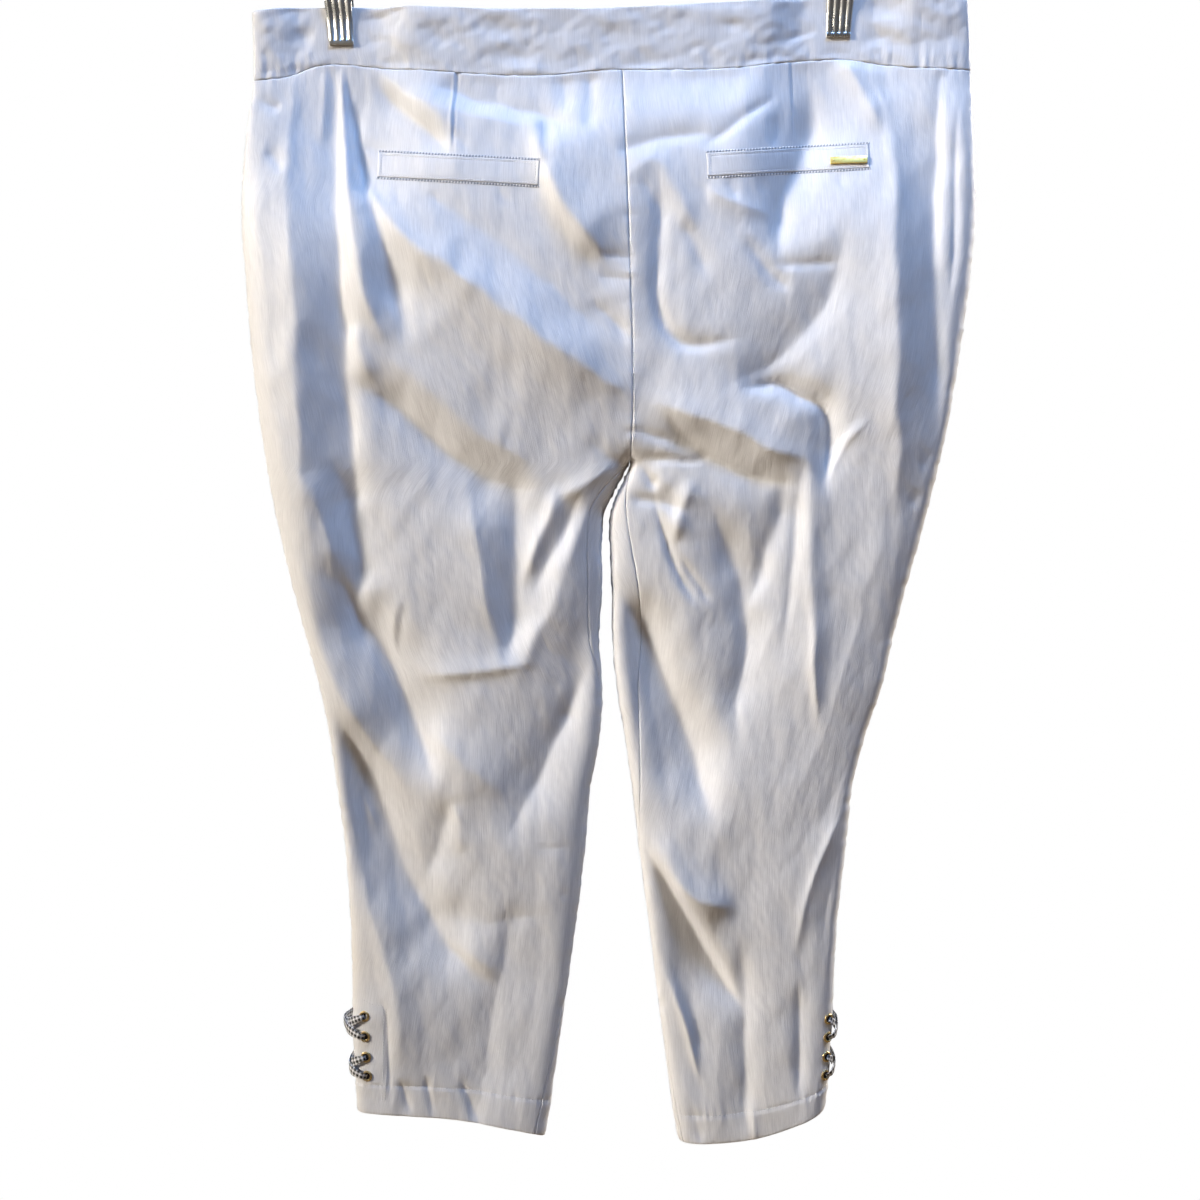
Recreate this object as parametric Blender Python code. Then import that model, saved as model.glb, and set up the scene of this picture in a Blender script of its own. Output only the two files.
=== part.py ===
"""White capri trousers that hang by the waistband from a clip hanger.

Metres, +Z up. The origin is the inside top of the hanger's hook, where a rail carries it. The
trousers' back faces -Y and the wearer would look along +Y, so +X is on the right seen from behind.
Tables and sizes below are in millimetres. A "drop" is a distance below the origin, and a depth is a
distance from the plane of the side seams, y = 0, out to the cloth.
"""

import math
from typing import NamedTuple

import bmesh
import bpy
from mathutils import Vector
from mathutils.bvhtree import BVHTree

MM = 0.001

# Fits between neighbours
GAP = 0.3
HALF_GAP = GAP / 2

# Cloth
PANEL_WALL = 1.2
BAND_WALL = 2.0
HEM_WALL = 2.0
HEM_HEIGHT = 25
ROUNDNESS = 2.5
CROTCH_DROP = 487
CROTCH_RISE = 70
THIGH_RISE = 200
THIGH_FALL = 60
HEM_DROP = 1020
WAIST_DROP = 167
BAND_TOP_DROP = 110
SETTLE_DROP = 290
HEM_SWING = 90

# Within these distances of a seam the folds fade out
SIDE_HOLD = 26
INSEAM_HOLD = 22
WAIST_HOLD = 30

# Hanger
BAR_DROP = 95
BAR_RADIUS = 3
BAR_HALF_LENGTH = 229
BAR_END_RADIUS = 4.5
BAR_END_LENGTH = 7
BAR_END_BEVEL = 1
CLIP_OFFSET = 206
CLIP_TIP_DROP = 141
CLIP_LEAN = 3
CLIP_FLAT = 27
CLIP_REACH = 38
CLIP_SPREAD = 0.35
CLIP_FADE = 200
HOOK_INNER_RADIUS = 24
HOOK_WIRE_RADIUS = 2
HOOK_START = -62
HOOK_SWEEP = 268
HOOK_NECK = 12
COLLAR_RADIUS = 5.5
COLLAR_LENGTH = 16
COLLAR_BEVEL = 0.6
SPRING_RADIUS = 4.4
SPRING_WIRE_RADIUS = 0.6
SPRING_TURNS = 4
SPRING_LENGTH = 13

# Trim
WELT_WALL = 1.0
PLATE_THICKNESS = 0.9
EYELET_OUTER = 4.4
EYELET_HOLE = 2.5
EYELET_HEIGHT = 1.2
EYELET_SIDES = 12
RIBBON_WIDTH = 8
RIBBON_THICKNESS = 1.0
RIBBON_END_WIDTH = 3.0
RIBBON_NECK_WIDTH = 4.5
RIBBON_LAYER = 1.7
RIBBON_KNOTS = 11
RIBBON_DIP = 0.5

# The elevation: the flat view of the back from this distance, which the fold tables are drawn on
SIGHT_DISTANCE = 1150
SIGHT_X = 1
SIGHT_DROP = 598

BACK, FRONT = -1, 1
LEFT, RIGHT = -1, 1


class Section(NamedTuple):
    """A level section: the side seams' x, and how far the cloth stands off the seam plane."""

    drop: float
    outer_left: float
    outer_right: float
    back: float
    front: float


SECTIONS = (
    Section(110, -276, 310, 10, 10),
    Section(167, -276, 311, 9, 9),
    Section(210, -281, 311, 20, 17),
    Section(250, -284, 311, 27, 23),
    Section(290, -285, 310, 31, 27),
    Section(330, -282, 306, 33, 29),
    Section(390, -278, 297, 34, 30),
    Section(430, -274, 290, 34, 30),
    Section(470, -269, 282, 33, 30),
    Section(510, -263, 272, 32, 29),
    Section(550, -255, 261, 31, 29),
    Section(590, -246, 249, 30, 28),
    Section(630, -236, 238, 29, 28),
    Section(670, -226, 228, 29, 27),
    Section(710, -219, 214, 28, 27),
    Section(750, -214, 203, 28, 26),
    Section(790, -209, 198, 27, 26),
    Section(870, -205, 188, 26, 25),
    Section(950, -205, 183, 25, 24),
    Section(1010, -203, 178, 25, 23),
    Section(1050, -201, 171, 25, 22),
)


class CentreSeam(NamedTuple):
    """The centre back and centre front seam's x."""

    drop: float
    x: float


CENTRE_SEAM = (
    CentreSeam(110, 26),
    CentreSeam(170, 26),
    CentreSeam(310, 29),
    CentreSeam(430, 30),
    CentreSeam(487, 27),
)


class Inseam(NamedTuple):
    """Each leg's inner edge."""

    drop: float
    left: float
    right: float


INSEAMS = (
    Inseam(487, 27, 27),
    Inseam(500, 20, 21),
    Inseam(512, 13, 15),
    Inseam(530, 5, 9),
    Inseam(590, 3, 10),
    Inseam(630, 0, 10),
    Inseam(670, 2, 13),
    Inseam(710, -1, 19),
    Inseam(750, -9, 24),
    Inseam(790, -13, 28),
    Inseam(870, -24, 37),
    Inseam(950, -37, 46),
    Inseam(1010, -48, 55),
    Inseam(1050, -55, 64),
)


class Waist(NamedTuple):
    """The waistband's top edge and the seam under it, which rise at the clips."""

    x: float
    top: float
    seam: float


WAIST = (
    Waist(-276, 113.5, 170.0),
    Waist(-248, 110.0, 166.5),
    Waist(-225, 109.5, 158.0),
    Waist(-204, 109.5, 156.5),
    Waist(-156, 111.5, 162.5),
    Waist(-74, 115.5, 169.5),
    Waist(-30, 116.0, 170.0),
    Waist(10, 116.5, 167.0),
    Waist(90, 114.0, 167.5),
    Waist(131, 112.5, 165.5),
    Waist(160, 110.5, 161.5),
    Waist(204, 107.5, 159.0),
    Waist(238, 109.0, 164.0),
    Waist(265, 111.0, 168.0),
    Waist(311, 113.5, 171.0),
)


class Hem(NamedTuple):
    """The hem's drop across each leg, from the side seam, 0, to the inseam, 1."""

    across: float
    left: float
    right: float


HEMS = (
    Hem(0.0, 1007, 1010),
    Hem(0.25, 1009, 1022),
    Hem(0.5, 1013, 1033),
    Hem(0.75, 1022, 1036),
    Hem(1.0, 1030, 1035),
)


class Fold(NamedTuple):
    """A soft ridge, or a trough where rise is negative, along points (x, drop) of the elevation."""

    name: str
    width: float
    rise: float
    points: tuple[tuple[float, float], ...]


BACK_FOLDS = (
    Fold("side trough left", 16, -5, ((-224, 180), (-229, 250), (-229, 332), (-224, 422), (-215, 488))),
    Fold("clip trough left", 10, -6, (
        (-204, 183), (-200, 226), (-195, 271), (-185, 316), (-172, 358), (-153, 397),
    )),
    Fold("seat ridge left", 20, 8, (
        (-197, 169), (-188, 210), (-174, 259), (-117, 303), (-77, 343), (-28, 380), (28, 428),
    )),
    Fold("below seat ridge left", 22, -4, ((-126, 330), (-69, 380), (-5, 427))),
    Fold("band ridge left", 11, 3, ((-156, 176), (-112, 193), (-63, 208), (-37, 220))),
    Fold("welt end left", 18, -5, ((-33, 229), (-10, 262), (15, 302))),
    Fold("thigh diagonal left", 16, -5, (
        (-188, 382), (-161, 432), (-128, 457), (-104, 482), (-51, 499),
    )),
    Fold("seat ridge right", 12, 3.5, ((34, 231), (60, 238), (84, 267), (117, 276), (149, 287))),
    Fold("seat trough right", 12, -4, ((56, 255), (51, 304), (51, 345), (60, 386), (115, 395))),
    Fold("clip ridge right", 16, 6, (
        (206, 159), (222, 188), (241, 225), (241, 323), (233, 438), (221, 569),
    )),
    Fold("side trough right", 14, -6, ((268, 176), (268, 274), (265, 397), (252, 504))),
    Fold("crotch ridge right", 14, 6, ((31, 435), (85, 444), (134, 457), (171, 476))),
    Fold("crotch wedge right", 11, -5, ((77, 460), (113, 491), (160, 509))),
    Fold("hook trough right", 10, -4, ((153, 422), (180, 439), (186, 470), (186, 507))),
    Fold("outer thigh trough left", 20, -5, (
        (-231, 488), (-215, 521), (-204, 570), (-192, 628), (-141, 727), (-92, 748),
    )),
    Fold("outer thigh ridge left", 16, 4, (
        (-245, 578), (-228, 627), (-206, 681), (-174, 731), (-143, 846), (-86, 867),
    )),
    Fold("inner thigh trough left", 16, -7, (
        (-5, 532), (-9, 598), (-31, 651), (-48, 696), (-65, 745), (-76, 786),
    )),
    Fold("inner thigh ridge left", 12, 5, ((2, 516), (-30, 573), (-55, 614), (-75, 648))),
    Fold("calf trough left", 18, -6, (
        (-210, 714), (-189, 784), (-165, 837), (-123, 891), (-111, 933), (-112, 990),
    )),
    Fold("inner knee trough right", 18, -8, ((15, 600), (35, 636), (50, 685), (74, 751), (92, 814))),
    Fold("calf ridge right", 12, 4, ((31, 783), (65, 811), (116, 853))),
    Fold("calf trough right", 20, -6, ((79, 850), (82, 895), (83, 1010))),
    Fold("shin ridge right", 16, 4, ((137, 916), (137, 1035))),
    Fold("thigh ridge right", 11, 3.5, ((173, 494), (172, 584), (173, 683))),
)

FRONT_FOLDS = (
    Fold("clip trough left", 12, -5, ((-204, 180), (-196, 270), (-170, 370), (-140, 440))),
    Fold("tummy ridge left", 22, 6, ((-196, 185), (-120, 290), (-40, 390), (20, 440))),
    Fold("clip trough right", 12, -5, ((206, 180), (200, 270), (178, 350), (140, 430))),
    Fold("tummy ridge right", 22, 5, ((198, 190), (150, 290), (90, 370), (34, 440))),
    Fold("side trough left", 15, -4, ((-236, 220), (-240, 350), (-228, 470))),
    Fold("side trough right", 15, -4, ((268, 220), (266, 340), (252, 470))),
    Fold("thigh trough left", 20, -5, ((-190, 480), (-160, 600), (-110, 700), (-60, 770))),
    Fold("thigh trough right", 20, -5, ((196, 480), (150, 600), (100, 700), (64, 770))),
    Fold("shin trough left", 18, -4, ((-170, 800), (-140, 900), (-132, 990))),
    Fold("shin trough right", 18, -4, ((142, 790), (124, 900), (118, 1000))),
)


class Welt(NamedTuple):
    """A welt pocket's corners on the elevation: the top edge's ends, and its height."""

    name: str
    start: tuple[float, float]
    end: tuple[float, float]
    height: float


WELTS = (
    Welt("welt_left", (-175, 228), (-43, 237), 20),
    Welt("welt_right", (94, 233), (227, 228), 19),
)
PLATE_CENTRE = (210, 238)
PLATE_LENGTH = 29.5
PLATE_HEIGHT = 6.6


class EyeletRow(NamedTuple):
    """A row of eyelets beside a side seam: its distance from that edge, and its drops."""

    leg: int
    face: int
    inset: float
    drops: tuple[float, ...]


EYELET_ROWS = (
    EyeletRow(LEFT, BACK, 10.5, (934.5, 950.0, 967.5, 984.0)),
    EyeletRow(LEFT, FRONT, 10.5, (934.5, 950.0, 967.5, 984.0)),
    EyeletRow(RIGHT, BACK, 4.5, (938.0, 953.5, 971.0, 987.5)),
    EyeletRow(RIGHT, FRONT, 13.0, (938.0, 953.5, 971.0, 987.5)),
)


class Seat(NamedTuple):
    """Where an eyelet stands: its place on the panel, its normal, and how high it is lifted."""

    across: float
    drop: float
    seat: Vector
    outward: Vector
    lift: float


class Lacing(NamedTuple):
    """A crossing of two ribbons over a side seam, between two pairs of eyelets."""

    leg: int
    upper: int
    lower: int
    slack: float


LACINGS = (
    Lacing(LEFT, 0, 1, 7.0),
    Lacing(LEFT, 2, 3, 2.2),
    Lacing(RIGHT, 0, 1, 4.0),
    Lacing(RIGHT, 2, 3, 2.5),
)


class JawRow(NamedTuple):
    """A level of a clip's jaw: height over the bar, inner face from the seam plane, half width."""

    height: float
    stand_off: float
    half_width: float
    lip: bool


JAW_ROWS = (
    JawRow(15, 9.4, 9.6, True),
    JawRow(12, 8.6, 10.2, True),
    JawRow(12, 8.6, 10.2, False),
    JawRow(4, 6.6, 10.9, False),
    JawRow(-9, 6.4, 11.0, False),
    JawRow(-27, 2.6, 10.5, False),
    JawRow(-43, 2.6, 10.1, False),
    JawRow(-43.2, 2.6, 10.1, True),
    JawRow(-46, 2.6, 10.0, True),
)
JAW_SHEET = 1.1
JAW_RIB = 0.9
JAW_RIBS = 4
JAW_GROOVE_SHARE = 0.3
EAR_THICKNESS = 1.0
EAR_INSET = 0.4
EAR_ROOT = 0.5
EAR_HEIGHT = 9

# Mesh density
BACK_COLUMNS, BACK_ROWS_ABOVE, BACK_ROWS_BELOW = 18, 15, 23
FRONT_COLUMNS, FRONT_ROWS_ABOVE, FRONT_ROWS_BELOW = 18, 10, 14
BAND_ROWS = 2


def material(name, colour, roughness, metallic=0.0):
    """A Principled material of one finish."""
    made = bpy.data.materials.new(name)
    made.use_nodes = True
    shader = made.node_tree.nodes["Principled BSDF"]
    shader.inputs["Base Color"].default_value = (*colour, 1)
    shader.inputs["Roughness"].default_value = roughness
    shader.inputs["Metallic"].default_value = metallic
    return made


def smoothstep(low, high, value):
    """0 below low, 1 above high, and a soft step between them."""
    share = min(max((value - low) / (high - low), 0), 1)
    return share * share * (3 - 2 * share)


def along(table, value, field):
    """A smooth curve through one column of a table, read at a value of its first column."""
    rows = [row[0] for row in table]
    heights = [getattr(row, field) for row in table]
    if value <= rows[0]:
        return heights[0]
    if value >= rows[-1]:
        return heights[-1]
    i = max(k for k in range(len(rows) - 1) if rows[k] <= value)
    slopes = []
    for k in (i, i + 1):
        before, after = max(k - 1, 0), min(k + 1, len(rows) - 1)
        slopes.append((heights[after] - heights[before]) / (rows[after] - rows[before]))
    span = rows[i + 1] - rows[i]
    t = (value - rows[i]) / span
    rise = heights[i + 1] - heights[i]
    return (
        heights[i]
        + rise * t * t * (3 - 2 * t)
        + span * slopes[0] * t * (1 - t) ** 2
        - span * slopes[1] * t * t * (1 - t)
    )


def from_polyline(points, x, y):
    """The distance from (x, y) to a polyline, and how far along it, 0 to 1, the nearest point lies."""
    lengths = [math.dist(a, b) for a, b in zip(points, points[1:])]
    total, walked = sum(lengths), 0
    nearest, place = math.inf, 0
    for (ax, ay), (bx, by), length in zip(points, points[1:], lengths):
        share = ((x - ax) * (bx - ax) + (y - ay) * (by - ay)) / length**2
        share = min(max(share, 0), 1)
        distance = math.hypot(x - ax - share * (bx - ax), y - ay - share * (by - ay))
        if distance < nearest:
            nearest, place = distance, (walked + share * length) / total
        walked += length
    return nearest, place


def fold_rise(folds, x, drop):
    """What all the folds of a face add to its depth at a point of the elevation."""
    rise = 0
    for fold in folds:
        distance, place = from_polyline(fold.points, x, drop)
        if distance < 3 * fold.width:
            taper = smoothstep(-0.05, 0.2, place) * smoothstep(1.05, 0.8, place)
            rise += fold.rise * taper * math.exp(-((distance / fold.width) ** 2))
    return rise


def parting(drop):
    """How far the section's inner side has closed: 0 over the seat, 1 from the crotch down."""
    return min(max((drop - CROTCH_DROP + CROTCH_RISE) / CROTCH_RISE, 0), 1)


def rounded(share):
    """The depth of a superellipse's quarter, from its edge, 0, to its middle, 1."""
    return (1 - (1 - min(share, 1)) ** ROUNDNESS) ** (1 / ROUNDNESS)


def side_edge(leg, drop):
    return along(SECTIONS, drop, "outer_left" if leg == LEFT else "outer_right")


def inner_edge(leg, drop):
    """The x of the panel's other edge: the centre seam, and the inseam from the crotch down."""
    if drop <= CROTCH_DROP:
        return along(CENTRE_SEAM, drop, "x") + leg * HALF_GAP
    return along(INSEAMS, drop, "left" if leg == LEFT else "right") + leg * HALF_GAP


def clip_pinch(x, drop):
    """1 where a clip holds front and back together, fading away from it."""
    reach = CLIP_REACH + CLIP_SPREAD * max(drop - CLIP_TIP_DROP, 0)
    beside = min(abs(x - CLIP_OFFSET), abs(x + CLIP_OFFSET))
    fade = smoothstep(CLIP_TIP_DROP + CLIP_FADE, CLIP_TIP_DROP, drop)
    return fade * smoothstep(CLIP_FLAT + reach, CLIP_FLAT, beside)


def cloth(leg, face, across, drop):
    """A point of the garment's outer surface at a nominal drop, across 0 to 1 from the side seam."""
    slim = smoothstep(CROTCH_DROP - THIGH_RISE, CROTCH_DROP + THIGH_FALL, drop)
    seat_share = 0.5 * (across + 1 - math.cos(across * math.pi / 2))
    leg_share = 0.4 * across + 0.3 * (1 - math.cos(across * math.pi))
    share = seat_share + (leg_share - seat_share) * slim
    outer, inner = side_edge(leg, drop), inner_edge(leg, drop)
    x = outer + (inner - outer) * share
    depth = along(SECTIONS, drop, "back" if face == BACK else "front")
    depth *= rounded(share * (1 + slim)) * rounded(1 - parting(drop) * max(2 * share - 1, 0))
    pinch = clip_pinch(x, drop)
    held = min(BAND_WALL + GAP, depth)
    depth += (held - depth) * pinch
    true_drop = drop
    if drop > WAIST_DROP:
        true_drop += (along(WAIST, x, "seam") - WAIST_DROP) * smoothstep(SETTLE_DROP, WAIST_DROP, drop)
        hem = along(HEMS, across, "left" if leg == LEFT else "right")
        true_drop += (hem - HEM_DROP) * smoothstep(HEM_DROP - HEM_SWING, HEM_DROP, drop)
        true_drop += HALF_GAP
    folds = BACK_FOLDS if face == BACK else FRONT_FOLDS
    enlarge = SIGHT_DISTANCE / (SIGHT_DISTANCE - depth)
    seen_x = SIGHT_X + (x - SIGHT_X) * enlarge
    seen_drop = SIGHT_DROP + (true_drop - SIGHT_DROP) * enlarge
    hold = smoothstep(0, SIDE_HOLD, abs(x - outer))
    hold *= 1 - parting(drop) * (1 - smoothstep(0, INSEAM_HOLD, abs(x - inner)))
    hold *= smoothstep(WAIST_DROP, WAIST_DROP + WAIST_HOLD, drop)
    shaped = depth + hold * fold_rise(folds, seen_x, seen_drop)
    shaped = max(shaped, min(depth, PANEL_WALL + 2))
    return Vector((x, face * (shaped + HALF_GAP), -true_drop))


def inward(leg, face, across, drop, point):
    """The unit normal into the garment, turned square to the seam on a panel's edges."""
    step, fall = 0.004, 1.5
    lower, upper = max(across - step, 0), min(across + step, 1)
    wide = cloth(leg, face, upper, drop) - cloth(leg, face, lower, drop)
    low = min(drop + fall, HEM_DROP)
    tall = cloth(leg, face, across, low) - cloth(leg, face, across, low - 2 * fall)
    normal = wide.cross(tall)
    if normal.y * face > 0:
        normal.negate()
    if across == 0:
        return Vector((-leg, 0, 0))
    if across == 1 and drop < CROTCH_DROP:
        normal.x = 0
        if normal.length < 1e-6:
            normal = Vector((0, -face, 0))
    elif across == 1 and drop == CROTCH_DROP:
        normal = Vector((leg, 0, 1))
    elif across == 1:
        return Vector((leg, 0, 0))
    if drop in (WAIST_DROP, HEM_DROP):
        normal.z = 0
    return normal.normalized()


def wall_at(drop):
    """The wall's thickness: the hem is turned up, so it is doubled."""
    doubled = smoothstep(HEM_DROP - HEM_HEIGHT - 10, HEM_DROP - HEM_HEIGHT, drop)
    return PANEL_WALL + (HEM_WALL - PANEL_WALL) * doubled


def finish(name, bm, finish_material, smooth=True):
    """An object from a bmesh in millimetres, with its faces pointing out."""
    bmesh.ops.scale(bm, vec=(MM, MM, MM), verts=bm.verts)
    bmesh.ops.recalc_face_normals(bm, faces=bm.faces)
    mesh = bpy.data.meshes.new(name)
    bm.to_mesh(mesh)
    bm.free()
    mesh.materials.append(finish_material)
    if smooth:
        mesh.shade_smooth()
        mesh.set_sharp_from_angle(angle=math.radians(40))
    made = bpy.data.objects.new(name, mesh)
    bpy.context.scene.collection.objects.link(made)
    return made


def walled(name, columns, rows, outside, inside, finish_material):
    """A closed wall on a grid: outside and inside give a point for (u, v), each from 0 to 1."""
    bm = bmesh.new()
    bmesh.ops.create_grid(bm, x_segments=columns, y_segments=rows, size=1)
    layer = bmesh.ops.extrude_face_region(bm, geom=bm.faces[:], use_keep_orig=True)
    inner = {item for item in layer["geom"] if isinstance(item, bmesh.types.BMVert)}
    for vertex in bm.verts:
        u = round((vertex.co.x + 1) / 2 * columns) / columns
        v = round((vertex.co.y + 1) / 2 * rows) / rows
        vertex.co = inside(u, v) if vertex in inner else outside(u, v)
    return finish(name, bm, finish_material)


def panel(leg, face, columns, rows_above, rows_below, finish_material):
    """One of the four panels: side seam to centre seam and inseam, waist seam to hem."""
    rows = rows_above + rows_below

    def drop_at(v):
        row = (1 - v) * rows
        if row <= rows_above + 1e-6:
            return CROTCH_DROP - (CROTCH_DROP - WAIST_DROP) * (1 - min(row / rows_above, 1)) ** 1.35
        return CROTCH_DROP + (HEM_DROP - CROTCH_DROP) * ((row - rows_above) / rows_below) ** 1.12

    def outside(u, v):
        drop = max(drop_at(v), WAIST_DROP)
        point = cloth(leg, face, u, drop)
        if drop == WAIST_DROP:
            point.z = -along(WAIST, point.x, "seam") - HALF_GAP
        return point

    def inside(u, v):
        drop = drop_at(v)
        point = outside(u, v)
        return point + wall_at(drop) * inward(leg, face, u, drop, point)

    name = f"{'back' if face == BACK else 'front'}_{'left' if leg == LEFT else 'right'}"
    return walled(name, columns, rows, outside, inside, finish_material)


def waistband(leg, face, columns, finish_material):
    """Half of the band's back or front, from a side seam to the centre, doubled cloth."""

    def outside(u, v):
        drop = WAIST_DROP - v * (WAIST_DROP - BAND_TOP_DROP)
        point = cloth(leg, face, u, drop)
        seam = along(WAIST, point.x, "seam") - HALF_GAP
        point.z = -(seam + (along(WAIST, point.x, "top") - seam) * v)
        return point

    def inside(u, v):
        point = outside(u, v)
        if u == 0:
            return point + Vector((-leg * BAND_WALL, 0, 0))
        before, after = outside(max(u - 0.004, 0), v), outside(min(u + 0.004, 1), v)
        normal = Vector((before.y - after.y, after.x - before.x, 0))
        if u == 1:
            normal.x = 0
        if normal.y * face > 0:
            normal.negate()
        return point + BAND_WALL * normal.normalized()

    name = f"waistband_{'back' if face == BACK else 'front'}_{'left' if leg == LEFT else 'right'}"
    return walled(name, columns, BAND_ROWS, outside, inside, finish_material)


def surface_of(made):
    """A search tree over an object's faces, in millimetres."""
    mesh = made.data
    return BVHTree.FromPolygons(
        [vertex.co / MM for vertex in mesh.vertices],
        [polygon.vertices[:] for polygon in mesh.polygons],
    )


def sighted(tree, x, drop):
    """Where the line of sight through a point of the elevation meets a surface, and its outward normal."""
    eye = Vector((SIGHT_X, -SIGHT_DISTANCE, -SIGHT_DROP))
    hit, normal, _, _ = tree.ray_cast(eye, Vector((x, 0, -drop)) - eye)
    if normal.y > 0:
        normal.negate()
    return hit, normal


def welt(row, tree, finish_material):
    """A welt: a strip that lies on the panel, made from the panel's points moved out."""
    columns, rows = 14, 2
    start, end = Vector(row.start), Vector(row.end)
    down = Vector((start.y - end.y, end.x - start.x)).normalized() * row.height

    def seated(u, v, lift):
        """The panel's point, lifted to clear the highest of the points round it."""
        here = start.lerp(end, u) + down * (1 - v)
        hit, _ = sighted(tree, here.x, here.y)
        highest = hit.y
        for du, dv in ((-0.5, 0), (0.5, 0), (0, -0.5), (0, 0.5)):
            near = start.lerp(end, u + du / columns) + down * (1 - v - dv / rows)
            highest = min(highest, sighted(tree, near.x, near.y)[0].y)
        hit.y = highest - lift
        return hit

    return walled(
        row.name,
        columns,
        rows,
        lambda u, v: seated(u, v, GAP + WELT_WALL),
        lambda u, v: seated(u, v, GAP),
        finish_material,
    )


def loft(name, rings, finish_material, closed=False, smooth=True):
    """A closed body through rings of points, capped at its ends unless it runs round to its start."""
    bm = bmesh.new()
    levels = [[bm.verts.new(point) for point in ring] for ring in rings]
    pairs = list(zip(levels, levels[1:]))
    if closed:
        pairs.append((levels[-1], levels[0]))
    else:
        bm.faces.new(levels[0])
        bm.faces.new(levels[-1])
    for ring, following in pairs:
        for i in range(len(ring)):
            j = (i + 1) % len(ring)
            bm.faces.new((ring[i], ring[j], following[j], following[i]))
    return finish(name, bm, finish_material, smooth)


def plate(tree, finish_material):
    """The bare metal plate on the right welt: a small bevelled bar."""
    middle, _ = sighted(tree, *PLATE_CENTRE)
    ends = [sighted(tree, PLATE_CENTRE[0] + side * PLATE_LENGTH / 2, PLATE_CENTRE[1])[0] for side in (-1, 1)]
    lengthwise = (ends[1] - ends[0]).normalized()
    outward = Vector((lengthwise.y, -lengthwise.x, 0)).normalized()
    upward = lengthwise.cross(outward) * -1
    proud = max((point - middle).dot(outward) for point in ends + [middle])
    base = middle + outward * (proud + GAP + 0.3)
    rings = []
    for lift, trim in ((0, 0), (PLATE_THICKNESS * 0.6, 0), (PLATE_THICKNESS, 0.5)):
        half_length, half_height = PLATE_LENGTH / 2 - trim, PLATE_HEIGHT / 2 - trim
        corners = ((-1, -1), (1, -1), (1, 1), (-1, 1))
        rings.append([
            base + outward * lift + lengthwise * (a * half_length) + upward * (b * half_height)
            for a, b in corners
        ])
    return loft("welt_plate", rings, finish_material, smooth=False)


def way_round(leg, drop, face, inset):
    """How far across the panel a point lies that is inset from the side seam's edge."""
    low, high = 0, 0.5
    for _ in range(30):
        middle = (low + high) / 2
        if abs(cloth(leg, face, middle, drop).x - side_edge(leg, drop)) < inset:
            low = middle
        else:
            high = middle
    return low


def eyelet_seat(row, drop, trees):
    """The point of the panel under an eyelet's middle, and its outward normal."""
    across = way_round(row.leg, drop, row.face, row.inset)
    point = cloth(row.leg, row.face, across, drop)
    outward = -inward(row.leg, row.face, across, drop, point)
    hit, _, _, _ = trees[row.leg, row.face].ray_cast(point + outward * 20, -outward, 40)
    return hit, outward


def eyelet(name, seat, outward, tree, finish_material):
    """A rolled ring, turned about the panel's normal, standing on the cloth."""
    axis = outward.to_track_quat("Z", "Y").to_matrix()
    profile = (
        (EYELET_HOLE, 0.0),
        (EYELET_OUTER, 0.0),
        (EYELET_OUTER - 0.5, EYELET_HEIGHT * 0.8),
        (EYELET_HOLE + 0.5, EYELET_HEIGHT),
    )
    spokes = []
    for k in range(EYELET_SIDES):
        angle = math.tau * k / EYELET_SIDES
        spokes.append(axis @ Vector((math.cos(angle), math.sin(angle), 0)))
    lift = GAP
    for spoke in spokes:
        for radius in (EYELET_HOLE, EYELET_OUTER):
            hit, _, _, _ = tree.ray_cast(seat + spoke * radius + outward * 20, -outward, 40)
            if hit is not None:
                lift = max(lift, (hit - seat).dot(outward) + GAP)
    rings = [
        [seat + outward * (lift + height) + spoke * radius for radius, height in profile]
        for spoke in spokes
    ]
    loft(name, rings, finish_material, closed=True)
    return lift


def round_the_side(leg, back, front, steps=48):
    """Points and outward normals of the cloth from a back eyelet, over the side seam, to a front one."""
    way = []
    for k in range(steps + 1):
        share = 2 * k / steps
        face, row = (BACK, back) if share < 1 else (FRONT, front)
        across = row.across * abs(1 - share) ** 1.5
        drop = back.drop + (front.drop - back.drop) * k / steps
        point = cloth(leg, face, across, drop)
        way.append((point, -inward(leg, face, across, drop, point)))
    return way


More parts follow.
